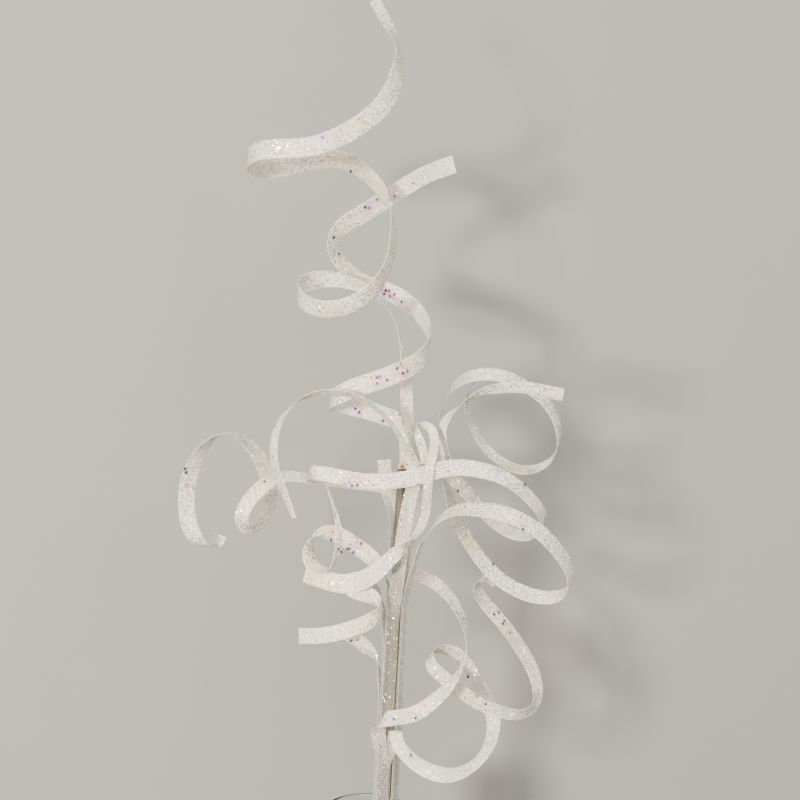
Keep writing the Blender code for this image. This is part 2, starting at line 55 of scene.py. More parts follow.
# %% Camera
EYE_RIGHT = 20.4
EYE_UP = 433.0
EYE_AWAY = 750.0

lens = bpy.data.cameras.new("front_view")
lens.sensor_width = 36.0
lens.lens = 56.25
lens.clip_start = 0.01
camera = bpy.data.objects.new("front_view", lens)
camera.location = (EYE_RIGHT * MM, -EYE_AWAY * MM, EYE_UP * MM)
camera.rotation_euler = (math.radians(90.0), 0.0, 0.0)
bpy.context.scene.collection.objects.link(camera)
bpy.context.scene.camera = camera
print("view across the stem's plane:", round(EYE_AWAY * lens.sensor_width / lens.lens), "mm")

# %% [markdown]
# ## Tools for meshes and materials
# Everything below is a surface worked out with numpy, so one function turns arrays of points and faces into
# an object. Lengths are in millimetres until that moment. Another adds a shader node and fills its sockets,
# and turns a colour written as a hex value into the linear numbers that Blender wants. The
# nodes that come up most have a short function each.

# %% Mesh from arrays
def put_mesh(name, points, faces, smooth=True):
    """An object at the origin from points (n, 3) in millimetres and faces (m, k) of equal size."""
    mesh = bpy.data.meshes.new(name)
    count, corners = faces.shape
    mesh.vertices.add(len(points))
    mesh.vertices.foreach_set("co", (points * MM).astype(np.float32).ravel())
    mesh.loops.add(count * corners)
    mesh.loops.foreach_set("vertex_index", faces.astype(np.int32).ravel())
    mesh.polygons.add(count)
    mesh.polygons.foreach_set("loop_start", np.arange(0, count * corners, corners, dtype=np.int32))
    mesh.polygons.foreach_set("use_smooth", np.full(count, smooth))
    mesh.update(calc_edges=True)
    mesh.validate()
    piece = bpy.data.objects.new(name, mesh)
    bpy.context.scene.collection.objects.link(piece)
    return piece


def give_value(piece, name, values):
    """Keep one number for each point of a mesh, for its material to read."""
    layer = piece.data.attributes.new(name, "FLOAT", "POINT")
    layer.data.foreach_set("value", values.astype(np.float32))


def give_colour(piece, name, colours):
    """Keep one linear colour for each point of a mesh, for its material to read."""
    layer = piece.data.color_attributes.new(name, "FLOAT_COLOR", "POINT")
    layer.data.foreach_set("color", np.insert(colours, 3, 1.0, axis=1).astype(np.float32).ravel())


def give_uv(piece, across_along):
    """UV map from one (across, along) pair for each point, in millimetres of the flat strip."""
    mesh = piece.data
    corner = np.empty(len(mesh.loops), dtype=np.int32)
    mesh.loops.foreach_get("vertex_index", corner)
    layer = mesh.uv_layers.new(name="flat_strip")
    layer.data.foreach_set("uv", across_along[corner].astype(np.float32).ravel())


# %% Colours and shader nodes
def linear(hex_value):
    """sRGB hex such as D8D5CC as linear red, green and blue."""
    srgb = np.array([int(hex_value[i:i + 2], 16) for i in (0, 2, 4)]) / 255.0
    return np.where(srgb <= 0.04045, srgb / 12.92, ((srgb + 0.055) / 1.055) ** 2.4)


def add_node(tree, kind, settings=None, numbered=None, **named):
    """One shader node. Its sockets are filled by number, or by name with _ for a space.

    Each takes another node's output, which is linked, a hex colour, or a plain value.
    """
    node = tree.nodes.new(kind)
    for key, value in (settings or {}).items():
        setattr(node, key, value)
    by_name = {key.replace("_", " "): value for key, value in named.items()}
    for key, value in {**(numbered or {}), **by_name}.items():
        if isinstance(value, bpy.types.NodeSocket):
            tree.links.new(value, node.inputs[key])
        elif isinstance(value, str):
            node.inputs[key].default_value = (*linear(value), 1.0)
        else:
            node.inputs[key].default_value = value
    return node


def make_material(name, shader_of):
    """A material of that name, whose shader is made by shader_of in the material's tree."""
    material = bpy.data.materials.new(name)
    material.use_nodes = True
    tree = material.node_tree
    tree.nodes.clear()
    add_node(tree, "ShaderNodeOutputMaterial", Surface=shader_of(tree).outputs[0])
    return material


def ramp(tree, factor, stops):
    """A colour ramp through (place, hex) stops."""
    node = add_node(tree, "ShaderNodeValToRGB", Fac=factor)
    elements = node.color_ramp.elements
    while len(elements) < len(stops):
        elements.new(0.5)
    for element, (place, colour) in zip(elements, stops):
        element.position = place
        element.color = (*linear(colour), 1.0)
    return node.outputs["Color"]


def value_map(tree, value, low, high, to_low=0.0, to_high=1.0):
    """Value moved from the range low to high into the range to_low to to_high, and held there."""
    limits = {"From_Min": low, "From_Max": high, "To_Min": to_low, "To_Max": to_high}
    return add_node(tree, "ShaderNodeMapRange", Value=value, **limits).outputs["Result"]


def maths(tree, operation, first, second):
    """One Math node on two outputs or numbers."""
    return add_node(tree, "ShaderNodeMath", {"operation": operation}, {0: first, 1: second}).outputs["Value"]


def vector_maths(tree, operation, *vectors, **named):
    """One Vector Math node."""
    node = add_node(tree, "ShaderNodeVectorMath", {"operation": operation}, dict(enumerate(vectors)), **named)
    return node.outputs["Vector"]


def blend(tree, factor, first, second, mode="MIX"):
    """Two colours mixed by a factor: sockets 0, 6 and 7 of a Mix node that works on colours."""
    settings = {"data_type": "RGBA", "blend_type": mode}
    return add_node(tree, "ShaderNodeMix", settings, {0: factor, 6: first, 7: second}).outputs[2]


def attribute(tree, name, output="Fac"):
    """What give_value or give_colour kept with the points of a mesh."""
    return add_node(tree, "ShaderNodeAttribute", {"attribute_name": name}).outputs[output]


def object_place(tree):
    """Place in the object, in metres."""
    return add_node(tree, "ShaderNodeTexCoord").outputs["Object"]


def mapped(tree, place, **named):
    """A place stretched or turned."""
    return add_node(tree, "ShaderNodeMapping", Vector=place, **named).outputs["Vector"]


def noise(tree, place, scale, detail, output="Fac"):
    """Soft random clouds."""
    return add_node(tree, "ShaderNodeTexNoise", Vector=place, Scale=scale, Detail=detail).outputs[output]


def bump(tree, height, strength, distance):
    """Normal of a relief whose full height is distance, in metres."""
    node = add_node(tree, "ShaderNodeBump", Height=height, Strength=strength, Distance=distance)
    return node.outputs["Normal"]


print("mesh and material tools are ready")

# %% [markdown]
# ## Routes
# A strip's route is drawn as a front view: x to the right of the sight line, z above it, and depth behind
# the stem's plane. Carried along the sight lines it becomes a row of points in space, and one cubic spline
# turns the row into a smooth path. A strip that starts in the bundle first runs straight up one side of the
# stick, in one of the layers there.

# %% From the drawing to a path
# Heights, and how far to the right the bundle's centre stands there
BUNDLE_LINE = (
    (12.0, 2.4), (193.0, 12.2), (259.0, 15.8), (313.0, 18.7), (373.0, 20.8), (415.0, 22.6), (466.0, 23.2),
)
STRIP_SPACE = 0.7
LAYER = 1.0
FIRST_LAYER = 4.5
SHANK_SHIFT = -0.4
SIDES = {"right": -25.0, "back": 65.0, "left": 155.0, "front": 245.0}


def from_front(drawn):
    """Points (x, z, depth) of the front view in space: x and z spread with distance from the eye."""
    x, z, depth = np.asarray(drawn, dtype=float).T
    spread = (EYE_AWAY + depth) / EYE_AWAY
    return np.column_stack((EYE_RIGHT + x * spread, depth, EYE_UP + z * spread))


def to_front(points):
    """Points in space as (x, z) of the front view, the other way round."""
    spread = (EYE_AWAY + points[..., 1]) / EYE_AWAY
    return np.stack(((points[..., 0] - EYE_RIGHT) / spread, (points[..., 2] - EYE_UP) / spread), axis=-1)


def cubic_through(keys, values, at, first_slope=None):
    """Cubic spline: each span is a cubic whose bending at the joints solves one set of linear equations.

    Its ends are free of bending, or it sets off in the direction of first_slope.
    """
    keys = np.asarray(keys, dtype=float)
    values = np.asarray(values, dtype=float)
    steps = np.diff(keys)[:, None]
    slopes = np.diff(values, axis=0) / steps
    count = len(keys)
    inner = np.arange(1, count - 1)
    matrix = np.zeros((count, count))
    matrix[0, 0] = matrix[-1, -1] = 1.0
    matrix[inner, inner - 1] = steps[:-1, 0]
    matrix[inner, inner] = 2.0 * (steps[:-1, 0] + steps[1:, 0])
    matrix[inner, inner + 1] = steps[1:, 0]
    right = np.zeros_like(values)
    right[1:-1] = 6.0 * np.diff(slopes, axis=0)
    if first_slope is not None:
        matrix[0, :2] = 2.0 * steps[0, 0], steps[0, 0]
        right[0] = 6.0 * (slopes[0] - first_slope)
    bend = np.linalg.solve(matrix, right)
    span = np.clip(np.searchsorted(keys, at, side="right") - 1, 0, count - 2)
    before = (at - keys[span])[:, None]
    width = steps[span]
    after = width - before
    return (
        (bend[span] * after**3 + bend[span + 1] * before**3) / (6.0 * width)
        + (values[span] / width - bend[span] * width / 6.0) * after
        + (values[span + 1] / width - bend[span + 1] * width / 6.0) * before
    )


def bundle_centre(heights):
    """Centre of the bundle at the given heights."""
    keys = [height for height, _ in BUNDLE_LINE]
    across = cubic_through(keys, [[x] for _, x in BUNDLE_LINE], heights)[:, 0]
    return np.column_stack((across, np.zeros(len(heights)), heights))


def shank(side, layer, foot, top):
    """Straight part in the bundle: bundle centre + outward x (first layer + layers below + half a strip)."""
    angle = math.radians(SIDES[side])
    outward = np.array([math.cos(angle), math.sin(angle), 0.0])
    along_side = np.array([-math.sin(angle), math.cos(angle), 0.0])
    reach = FIRST_LAYER + (layer - 1) * LAYER + STRIP_SPACE / 2
    count = max(2, round(top - foot) + 1)
    points = bundle_centre(np.linspace(foot, top, count)) + outward * reach + along_side * SHANK_SHIFT
    return points, np.tile(along_side, (count, 1))


# %% [markdown]
# ## How a strip faces
# A curled strip needs more than a path: at each point it also has a width direction. It is given at a few
# of the drawn points, blended between them, kept square to the path and smoothed, which is how a real strip
# spreads its twist over its length.

# %% Path, tangents, width directions and widths
SMOOTHING_PASSES = 60
WIDTH_EASES_OVER = 60.0


def unit(vectors):
    """The same vectors at length one."""
    return vectors / np.linalg.norm(vectors, axis=1)[:, None]


def square_to(tangents, directions):
    """Each direction less its share along the tangent, at length one."""
    return unit(directions - np.sum(directions * tangents, axis=1)[:, None] * tangents)


def smooth_ramp(value):
    """0 below 0, 1 above 1, and 3v^2 - 2v^3 between."""
    value = np.clip(value, 0.0, 1.0)
    return value * value * (3.0 - 2.0 * value)


def running_length(path):
    """Distance along the path to each of its points."""
    return np.concatenate(([0.0], np.cumsum(np.linalg.norm(np.diff(path, axis=0), axis=1))))


def coil_directions(count, axes):
    """Width direction for each drawn point, blended between the ones given."""
    keys = sorted(axes)
    wanted = unit(np.array([axes[key] for key in keys], dtype=float))
    return np.column_stack([np.interp(np.arange(count), keys, wanted[:, i]) for i in range(3)])


def follow_route(points, directions, first_slope):
    """Spline through the points about every millimetre, with directions blended along it."""
    sense = np.cumprod(np.where(np.sum(directions[1:] * directions[:-1], axis=1) < 0.0, -1.0, 1.0))
    kept = directions * np.concatenate(([1.0], sense))[:, None]
    reach = running_length(points)
    at = np.linspace(0.0, reach[-1], int(reach[-1]) + 1)
    path = cubic_through(reach, points, at, first_slope)
    return path, np.column_stack([np.interp(at, reach, kept[:, i]) for i in range(3)])


def lay_out(drawn, axes, curl, held=None, start=9.0, slim=0.0, tip=0.0, taper=0.0):
    """Path, tangents, width directions and half widths of a strip, and how much of it is straight."""
    points = from_front(drawn)
    directions = coil_directions(len(points), axes)
    fixed = 0
    if held:
        slim += held[3] - held[2]
        straight, flat = shank(*held)
        fixed = len(straight)
        points = np.vstack((straight[-1:], points))
        directions = np.vstack((flat[-1:], directions))
        path, across = follow_route(points, directions, unit(straight[-1:] - straight[-2:-1])[0])
        path = np.vstack((straight[:-1], path))
        across = np.vstack((flat[:-1], across))
    else:
        path, across = follow_route(points, directions, None)
    tangents = unit(np.gradient(path, axis=0))
    across = square_to(tangents, across)
    first = max(fixed, 1)
    for _ in range(SMOOTHING_PASSES):
        across[first:-1] = (across[first - 1:-2] + 2.0 * across[first:-1] + across[first + 1:]) / 4.0
        across = square_to(tangents, across)
    run = running_length(path)
    width = start + (curl - start) * smooth_ramp((run - slim) / WIDTH_EASES_OVER)
    if taper:
        width = tip + (width - tip) * smooth_ramp((run[-1] - run) / taper)
    return {
        "path": path, "tangents": tangents, "across": across, "half": width / 2, "run": run, "fixed": fixed,
        "side": held[0] if held else None,
    }


print("bundle leans", round(BUNDLE_LINE[-1][1] - BUNDLE_LINE[0][1], 1), "mm over its height")

# %% [markdown]
# ## The thirteen routes
# Each entry is one strip: its front view, the way it faces at some of the drawn points, its width, and
# where it is held in the bundle as side, layer, foot and top. The upper ones first: a helix that winds up
# to the tip, and the strip that leaves the bundle's back and goes once round it.

# %% Crown and collar
STRIPS = {}
UPRIGHT = (0.05, 0.0, 1.0)

# The tall helix at the top, over two turns up from the end of the bundle
STRIPS["crown"] = dict(drawn=[
    (7.5, -78, -1), (9.3, -62, -1), (9.2, -44, -1), (7, -28, -1.5), (4.5, -12, -2), (4, 6, -2), (3, 22, -1),
    (0.5, 36, 2), (-2.5, 47, 7), (-8, 56.5, 13), (-16, 64, 20), (-27, 69.5, 24), (-39, 72.5, 25),
    (-52, 71.5, 19), (-61, 66, 4), (-58, 59, -12), (-45.5, 54.5, -23), (-30, 57, -27), (-16.5, 66, -24),
    (-7.5, 80, -15), (-4, 96, -5), (-4.8, 112, 3), (-11, 126, 12), (-21, 136, 22), (-33, 143.5, 31),
    (-50, 144, 36), (-68, 140, 31), (-84, 138, 18), (-91.5, 143, 2), (-86, 149, -16), (-70, 151, -30),
    (-52, 152.5, -38), (-33.5, 159.5, -38), (-17.5, 170, -32), (-7.5, 181, -24), (-2.6, 192, -14),
    (-0.4, 202.5, -4), (-0.8, 211, 4), (-4, 219.5, 12), (-9.3, 229.5, 19), (-15.3, 240, 25),
], axes={
    0: (1, 0.2, 0), 5: (1, 0.3, 0), 6: (0.7, 0.7, 0), 7: (0.1, 1, 0), 9: (0.1, 0.9, 0.3),
    12: (0, 0.45, 0.9), 14: UPRIGHT, 16: (0, -0.6, 0.8), 18: (-0.1, -0.5, 0.8), 20: (-0.35, -0.9, 0.2),
    21: (-0.2, -0.85, 0.35), 22: (0.2, -0.6, 0.75), 24: (0.1, -0.45, 0.85), 27: UPRIGHT, 31: UPRIGHT,
    34: (-0.8, -0.1, 0.6), 36: (-0.4, -0.7, 0.6), 37: (-0.38, -0.7, 0.55), 39: (-0.85, -0.3, -0.2),
    40: (-0.85, -0.1, -0.4),
}, curl=11.5, held=("right", 1, 20.0, 337.0), start=8.0, slim=130.0, tip=7.0, taper=60.0)
# Leaves the bundle at the back, winds once round its top and ends square at the upper right
STRIPS["collar"] = dict(drawn=[
    (4, -28, 7), (2, -16, 9), (-8, -10, 13), (-24, -5, 16), (-37, -2, 12), (-42.5, -0.5, 2), (-39, 2, -10),
    (-28, 7, -19), (-13, 12, -22), (2, 18, -21), (12, 24, -15), (17.5, 32, -5), (17, 42, 8), (12, 51, 21),
    (4, 58.5, 30), (-7, 65, 35), (-21, 70.5, 37), (-32, 79, 33), (-39.5, 91, 27), (-36, 102, 23),
    (-27, 109, 22), (-14, 117, 22), (0, 126, 22), (13, 134, 20), (32.5, 141.5, 16),
], axes={
    0: (1, -0.4, 0), 2: UPRIGHT, 14: UPRIGHT, 16: (0.3, 0.4, 0.85), 18: (0.7, 0.7, 0.1),
    20: (0.5, 0.3, -0.8), 21: (-0.05, 0, -1), 24: (-0.05, 0, -1),
}, curl=11.5, held=("back", 1, 17.0, 385.0))

# %% [markdown]
# In the middle a narrow strip crosses the stick and makes the big arc at the left, one band lies across the
# front of the bundle, one winds far out to the left, and small loops lie close on both sides.

# %% Arcs, bands and loops in the middle
# Crosses the stick from left to right, then makes the big narrow arc at the left, slimmer at its end
STRIPS["long_arc"] = dict(drawn=[
    (-1.5, -108, -8), (1.5, -84, -9), (5.5, -62, -8), (8.3, -48, -6), (7.5, -38, -7.5), (2.5, -26, -13),
    (-6, -13, -19), (-20, -1, -24), (-37, 4.5, -27), (-53.5, 3, -28), (-67, -5.5, -29), (-74, -17.5, -30),
    (-76, -30, -30), (-74.7, -42, -30), (-70, -54.5, -30), (-63.5, -71, -30),
], axes={
    0: (0.94, -0.33, 0), 3: (1, 0.1, 0), 4: (0.9, -0.25, 0), 5: (0.3, -0.9, 0.2), 7: (0.15, -0.9, 0.35),
    9: (0.4, -0.8, 0.4), 12: (0.6, -0.75, 0), 15: (0.65, -0.7, -0.1),
}, curl=8.5, held=("front", 1, 23.0, 300.0), tip=4.5, taper=22.0)
# From its square left end across the bundle's front, through a ring at the right, to a square end
STRIPS["cross_band"] = dict(drawn=[
    (-54.5, -43.5, -3), (-45, -44.5, -4.5), (-30, -47.5, -7), (-15, -49, -9.5), (0, -48, -11.2),
    (10, -46, -11.4), (18, -43.5, -11.4), (27, -41.5, -11.6), (36, -40.5, -12), (48, -42, -12.5),
    (60, -45.5, -11), (72, -53, -8), (82, -63.5, -3), (86, -73, 3), (81, -80.5, 9), (71, -81, 13),
    (60, -75.5, 14), (48, -64.5, 12), (38, -53, 8), (31.5, -46, 6), (27, -37, 5), (25, -26, 4),
    (26, -15, 2), (31, -8, -1), (40, -0.5, -5), (49, 4.5, -6), (61, 7, -7), (73, 7.5, -8), (86, 5.5, -9),
    (98, 3, -10),
], axes={
    0: (0, 0.1, 1), 3: (0, 0, 1), 7: (0.1, 0, 1), 12: (0.5, 0.7, 0.5), 18: (0.5, 0.6, 0.6),
    21: (0.6, -0.7, 0.1), 24: (0.5, -0.7, 0.5), 29: (0.2, -0.3, 0.9),
}, curl=10.0, tip=8.0, taper=170.0)
# From the back of the bundle behind the cross band, out to the left in a small loop and a wide arc
STRIPS["far_left"] = dict(drawn=[
    (0, -66, 8), (-2.5, -57, 10.5), (-10, -51.5, 12), (-24, -49.5, 10), (-40, -48, 6), (-56, -46.5, 2),
    (-66, -45.5, -1), (-75, -47, -5), (-84, -53, -8), (-91, -61, -9), (-95, -69.5, -6), (-93.5, -76, 0),
    (-88, -77.5, 6), (-82, -72, 11), (-78.5, -62, 14), (-79, -50, 14), (-82, -39, 12), (-88, -29.5, 8),
    (-96, -22.5, 3), (-104.5, -21, -3), (-112.5, -24, -9), (-119.5, -31, -12), (-124.5, -40.5, -12),
    (-127.5, -52, -10), (-128, -64, -7), (-126, -76, -4), (-121.5, -84.5, 1), (-116, -88, 7),
    (-111, -86.5, 12), (-108, -81, 14),
], axes={
    0: (0.9, -0.4, 0), 2: (0, 0.2, 1), 5: (-0.1, 0.8, 0.55), 8: (-0.5, 0.5, 0.7), 10: (-0.85, 0.4, 0.3),
    12: (-0.15, 0.6, -0.75), 14: (0.85, 0.45, -0.15), 16: (0.85, 0.5, 0.1), 18: (0.3, 0.9, 0.3),
    20: (0.4, 0.9, 0), 23: (0.95, 0.3, -0.1), 25: (0.95, 0.1, 0.2), 27: (0.75, -0.6, 0.1),
    29: (0.85, -0.3, -0.4),
}, curl=10.0, held=("back", 2, 26.0, 350.0))
# A small loop at the left of the stem, ending in a point behind the cross band
STRIPS["left_loop"] = dict(drawn=[
    (-7.5, -110, 3), (-11, -102, 2), (-19, -93, 1), (-31, -84.5, 3), (-43, -79.5, 5), (-50.5, -82, 3),
    (-53.8, -88.5, -2), (-53.8, -96, -7.5), (-48.5, -102, -13), (-41.5, -100.5, -16), (-37.5, -92, -15.5),
    (-36.5, -81, -13), (-38, -70, -10), (-41, -60, -6.5), (-43.8, -52, -3),
], axes={
    0: (-0.4, -0.7, 0.3), 2: (0.3, 0.1, 0.9), 4: (0.2, 0.3, 0.9), 6: (0.5, 0.8, 0.3), 8: (0.3, 0.7, 0.7),
    11: (0.8, 0.6, 0.2), 14: (0.5, 0.8, 0),
}, curl=10.0, held=("left", 1, 20.0, 306.0), tip=2.0, taper=75.0)
# A tight turn at the stem's left, then out to the square end of the left shelf
STRIPS["left_shelf"] = dict(drawn=[
    (-9.5, -131, 3.5), (-12, -118, 3), (-19, -109.5, 4), (-28, -107.5, 4), (-33.5, -110, 1.5),
    (-31, -113, -4), (-23, -116, -7.5), (-14, -120, -10), (-12, -125, -12.5), (-16, -131, -14),
    (-27, -136.5, -15), (-39, -140, -14), (-50, -141.5, -12), (-60.5, -141.5, -9),
], axes={0: (-0.42, -0.9, 0), 2: (0.1, 0, 1), 13: (0.1, 0, 1)}, curl=9.5, held=("left", 2, 29.0, 284.0))
# A short strip that leaves the bundle low on the left and ends behind the shelf
STRIPS["left_spur"] = dict(
    drawn=[(-12, -165, 3), (-16, -154, 1), (-23, -146, -3), (-29, -141.5, -5), (-34.5, -139, -6)],
    axes={0: (-0.42, -0.9, 0), 2: (0.4, 0.1, 0.9)}, curl=8.0, held=("left", 3, 23.0, 250.0),
)
# A small loop right of the bundle, down its side, then across its front to a square left end
STRIPS["small_loop"] = dict(drawn=[
    (15, -38, -7.5), (13, -28, -8), (10, -20.5, -7.5), (9.5, -17, -4.5), (13, -15.5, -2), (17.5, -16.5, -1),
    (20.5, -23, -5), (20, -31, -10.5), (18.5, -38, -12.8), (17, -48, -13.1), (16.3, -57, -10.5),
    (15.5, -66, -8), (13.5, -74, -9.5), (9.5, -80.5, -14), (3, -87, -18), (-5, -94.5, -18),
    (-14, -103, -15), (-25, -109, -12.5), (-37, -110, -9), (-48, -107, -5.5), (-57, -104, -2.5),
], axes={
    0: (1, 0, 0.3), 2: (1, 0, 0.3), 4: (0, 0.3, 0.9), 6: (0.9, 0, 0.2), 8: (1, -0.1, 0), 12: (1, -0.2, 0),
    14: (0.7, 0, 0.7), 16: (0.2, 0, 1), 20: (0, 0, 1),
}, curl=11.5, start=5.5, slim=92.0)

# %% [markdown]
# The largest rings hang at the right, and two strips fold out of the bundle's front just above the vase.
# The last one is a stub whose square end leans out beside the stick's cut end.

# %% Rings and the low strips
# The two largest rings, at the right, one above the other
STRIPS["right_rings"] = dict(drawn=[
    (5, -112, -3.5), (9, -98, -4), (13, -86, -5), (18, -78, -8), (24, -71, -12), (32, -66.5, -16),
    (45, -65.5, -20), (60, -67.5, -22), (73, -72.5, -22), (86, -81, -18), (97, -93.5, -10),
    (102.5, -107, 2), (99, -115.5, 9), (88, -118.5, 15), (74, -115.5, 20), (60, -107.5, 23), (48, -95, 24),
    (39, -81, 22), (33, -69, 20), (30, -58, 18), (27.5, -45, 16), (25.5, -30, 14), (24.5, -17, 12),
    (25.5, -5, 10), (30, 5.5, 8), (38, 12.5, 6), (50, 15.5, 5), (61, 14.5, 5), (74, 9, 7), (86, 0.5, 11),
    (93.5, -11.5, 16), (95.5, -24, 21), (91.5, -34.5, 26), (82, -41, 30), (69, -41, 32), (57, -34, 32),
    (48, -24, 30), (42.5, -13, 27), (40, -2.5, 24), (41.5, 6, 21), (46, 12, 18),
], axes={
    0: (0.42, 0.9, 0), 4: (0.2, 0.8, 0.5), 7: (0.35, 0.4, 0.85), 9: (0.45, 0.45, 0.8), 17: (0.5, 0.5, 0.7),
    21: (0.35, 0.8, 0.4), 25: (0.35, 0.5, 0.75), 40: (0.4, 0.6, 0.6),
}, curl=10.0, held=("right", 2, 32.0, 303.0), tip=7.0, taper=230.0)
# Folds over at the front of the bundle and makes the double coil at the lower right
STRIPS["low_right"] = dict(drawn=[
    (-6.5, -211.5, -7.5), (-4.2, -204.5, -10.5), (-3.2, -199.5, -12.5), (-2.5, -198.5, -15.5),
    (-2, -203, -17.5), (1.5, -210.5, -17.5), (10, -218.5, -18), (20, -223.5, -18.5), (30.5, -225, -20),
    (42, -220.5, -20), (51, -211.5, -16), (55.5, -200, -8), (55.5, -189, 0), (50.5, -177, 8),
    (43.5, -164, 14), (35, -153, 16), (25.5, -149.5, 13), (18.5, -152.5, 8), (18.5, -158.5, 2),
    (25.5, -166, -3), (35.5, -174, -8), (47, -182, -11), (60, -187, -9), (71, -189, -4), (79.5, -185, 4),
    (82.5, -176, 13), (80, -163, 22), (73, -150, 29), (64, -137, 34), (54, -125, 37), (47.5, -116, 37),
    (46.5, -109, 35), (51, -106, 33), (58, -109, 32),
], axes={
    0: (0.9, -0.4, 0), 3: (1, 0, 0), 4: (0.95, 0, 0.2), 6: (0.7, 0, 0.7), 8: (0.1, 0.65, 0.7),
    9: (-0.1, 0.9, 0.4), 10: (-0.35, 0.9, 0.2), 12: (-0.8, 0.6, 0.1), 15: (-0.5, 0.4, -0.6),
    17: (-0.6, 0.4, -0.6), 20: (-0.5, 0.4, -0.7), 23: (-0.2, 0.5, -0.8), 25: (0.6, 0.6, 0),
    27: (0.6, 0.5, 0.5), 33: (0.6, 0.5, 0.6),
}, curl=9.5, held=("front", 2, 17.0, 209.0), start=7.0, slim=20.0)
# Turns at the left of the bundle's front, crosses it and goes up in a hook that ends behind it
STRIPS["low_hook"] = dict(drawn=[
    (-12.3, -206, -9.3), (-13, -198.5, -11.5), (-12, -193.5, -15.5), (-8, -191.5, -19), (-2, -190.5, -20.5),
    (5, -189.5, -20.5), (13, -186, -20.5), (22, -179, -20.5), (30.5, -170.5, -20.5), (36.5, -160, -18),
    (39.5, -148, -13), (38, -134, -4), (32.5, -122, 7), (25, -113, 15), (16, -107, 20), (4, -104, 21),
    (-5, -104, 17),
], axes={
    0: (0.9, -0.4, 0), 1: (0.9, 0, 0.3), 3: (0.3, 0, 0.9), 5: (0, 0, 1), 7: (-0.2, 0.55, 0.75),
    8: (-0.15, 0.8, 0.45), 9: (0, 0.95, 0.25), 10: (0, 1, 0.2), 12: (0.4, 0.8, 0.3), 16: (0.4, 0, 0.9),
}, curl=9.0, held=("front", 3.4, 26.0, 216.0))
# A strip cut short in the bundle, its square end leaning out beside the stick's cut end
STRIPS["stub"] = dict(
    drawn=[(-7.5, -55, 1.5), (-9.5, -36, 1)],
    axes={0: (0.9, 0.4, 0), 1: (0.9, 0.1, 0)}, curl=8.5, held=("left", 1, 339.0, 357.0), start=7.6,
)

STRIPS = {name: lay_out(**facts) for name, facts in STRIPS.items()}
for name, strip in STRIPS.items():
    print(name, round(strip["run"][-1]), "mm long,", round(2 * strip["half"].max(), 1), "mm wide")

# %% [markdown]
# ## The strip's skin
# A real strip is a coated web a third of a millimetre thick, a little dished across its width and not quite
# straight along its edges. So a flat oval is carried along the path. Slow waves ripple its face and nibble
# at its edges, and a fan closes each cut end.

# %% Band surface
ROUND = 18
THICKNESS = 0.34
DISH = 0.10
RIPPLE = 0.05
RIPPLE_WAVE = 9.0
NIBBLE = 0.012
NIBBLE_WAVES = (2.1, 5.3)


def closed_faces(stations, around):
    """Quads between neighbouring rings, round and round, then a fan of quads over each end.

    The middle of the first ring is the point after all the rings, and the middle of the last ring comes next.
    """
    ring, corner = np.meshgrid(np.arange(stations - 1), np.arange(around), indexing="ij")
    after = (corner + 1) % around
    low = ring * around
    quads = np.stack((low + corner, low + after, low + around + after, low + around + corner), axis=-1)
    k = np.arange(0, around, 2)
    far = (k + 2) % around
    middle = np.full(len(k), stations * around)
    last = (stations - 1) * around
    first_fan = np.stack((middle, far, k + 1, k), axis=1)
    last_fan = np.stack((middle + 1, last + k, last + k + 1, last + far), axis=1)
    return np.vstack((quads.reshape(-1, 4), first_fan, last_fan))


def band(strip, seed):
    """Section at angle a: half width x cos a across, half thickness x sin a ^ 1/2 + dish (1/2 - cos^2 a) up.

    Two waves nibble at the half width and a third ripples the face. Returns the points (stations, around, 3),
    and each one's share of the half width and place along the strip.
    """
    random = np.random.default_rng(seed)
    phase = random.uniform(0.0, 2.0 * math.pi, 4)
    run = strip["run"][:, None]
    angle = np.linspace(0.0, 2.0 * math.pi, ROUND, endpoint=False)[None, :] + math.pi / ROUND
    share = np.cos(angle)
    side = np.sin(angle)
    edge = np.where(share > 0.0, phase[0], phase[1])
    short, long = NIBBLE_WAVES
    wave = np.sin(run * 2.0 * math.pi / short + edge) + np.sin(run * 2.0 * math.pi / long + 2.0 * edge)
    half = strip["half"][:, None] * (1.0 - NIBBLE + NIBBLE * wave)
    ripple = RIPPLE * np.sin(run * 2.0 * math.pi / RIPPLE_WAVE + phase[2]) * np.cos(3.0 * share + phase[3])
    lift = THICKNESS / 2 * np.sign(side) * np.abs(side) ** 0.5 + DISH * (0.5 - share**2) + ripple
    normal = np.cross(strip["tangents"], strip["across"])
    points = (
        strip["path"][:, None, :]
        + strip["across"][:, None, :] * (half * share)[..., None]
        + normal[:, None, :] * lift[..., None]
    )
    return points, np.broadcast_to(share, half.shape), np.broadcast_to(run, half.shape)


print("a strip's section has", ROUND, "corners and is", THICKNESS, "mm thick")

# %% [markdown]
# ## Flakes of film
# Iridescent film is cut into hexagons about 1.6 mm across and glued on with the glitter. They sit in loose
# clusters, so the larger ones are placed one by one: each is given by where it shows in the front view and
# is laid on the nearest face of its strip, drawn 2 mm across so that it shows. The white ones among them are
# painted highlights, put where glints show. Smaller ones are strewn over both faces.

# %% Where the large flakes lie
PLUM = "43203A"
VIOLET = "61406E"
ROSE = "B47E84"
AMBER = "976A30"
LIME = "84893C"
SLATE = "3E4046"
# White: strewn at random it is white glitter; on the placed flakes it is a painted highlight at a glint
WHITE_AND_PAINTED_GLINT = "FBFCFD"
AQUA = "BFD8DA"
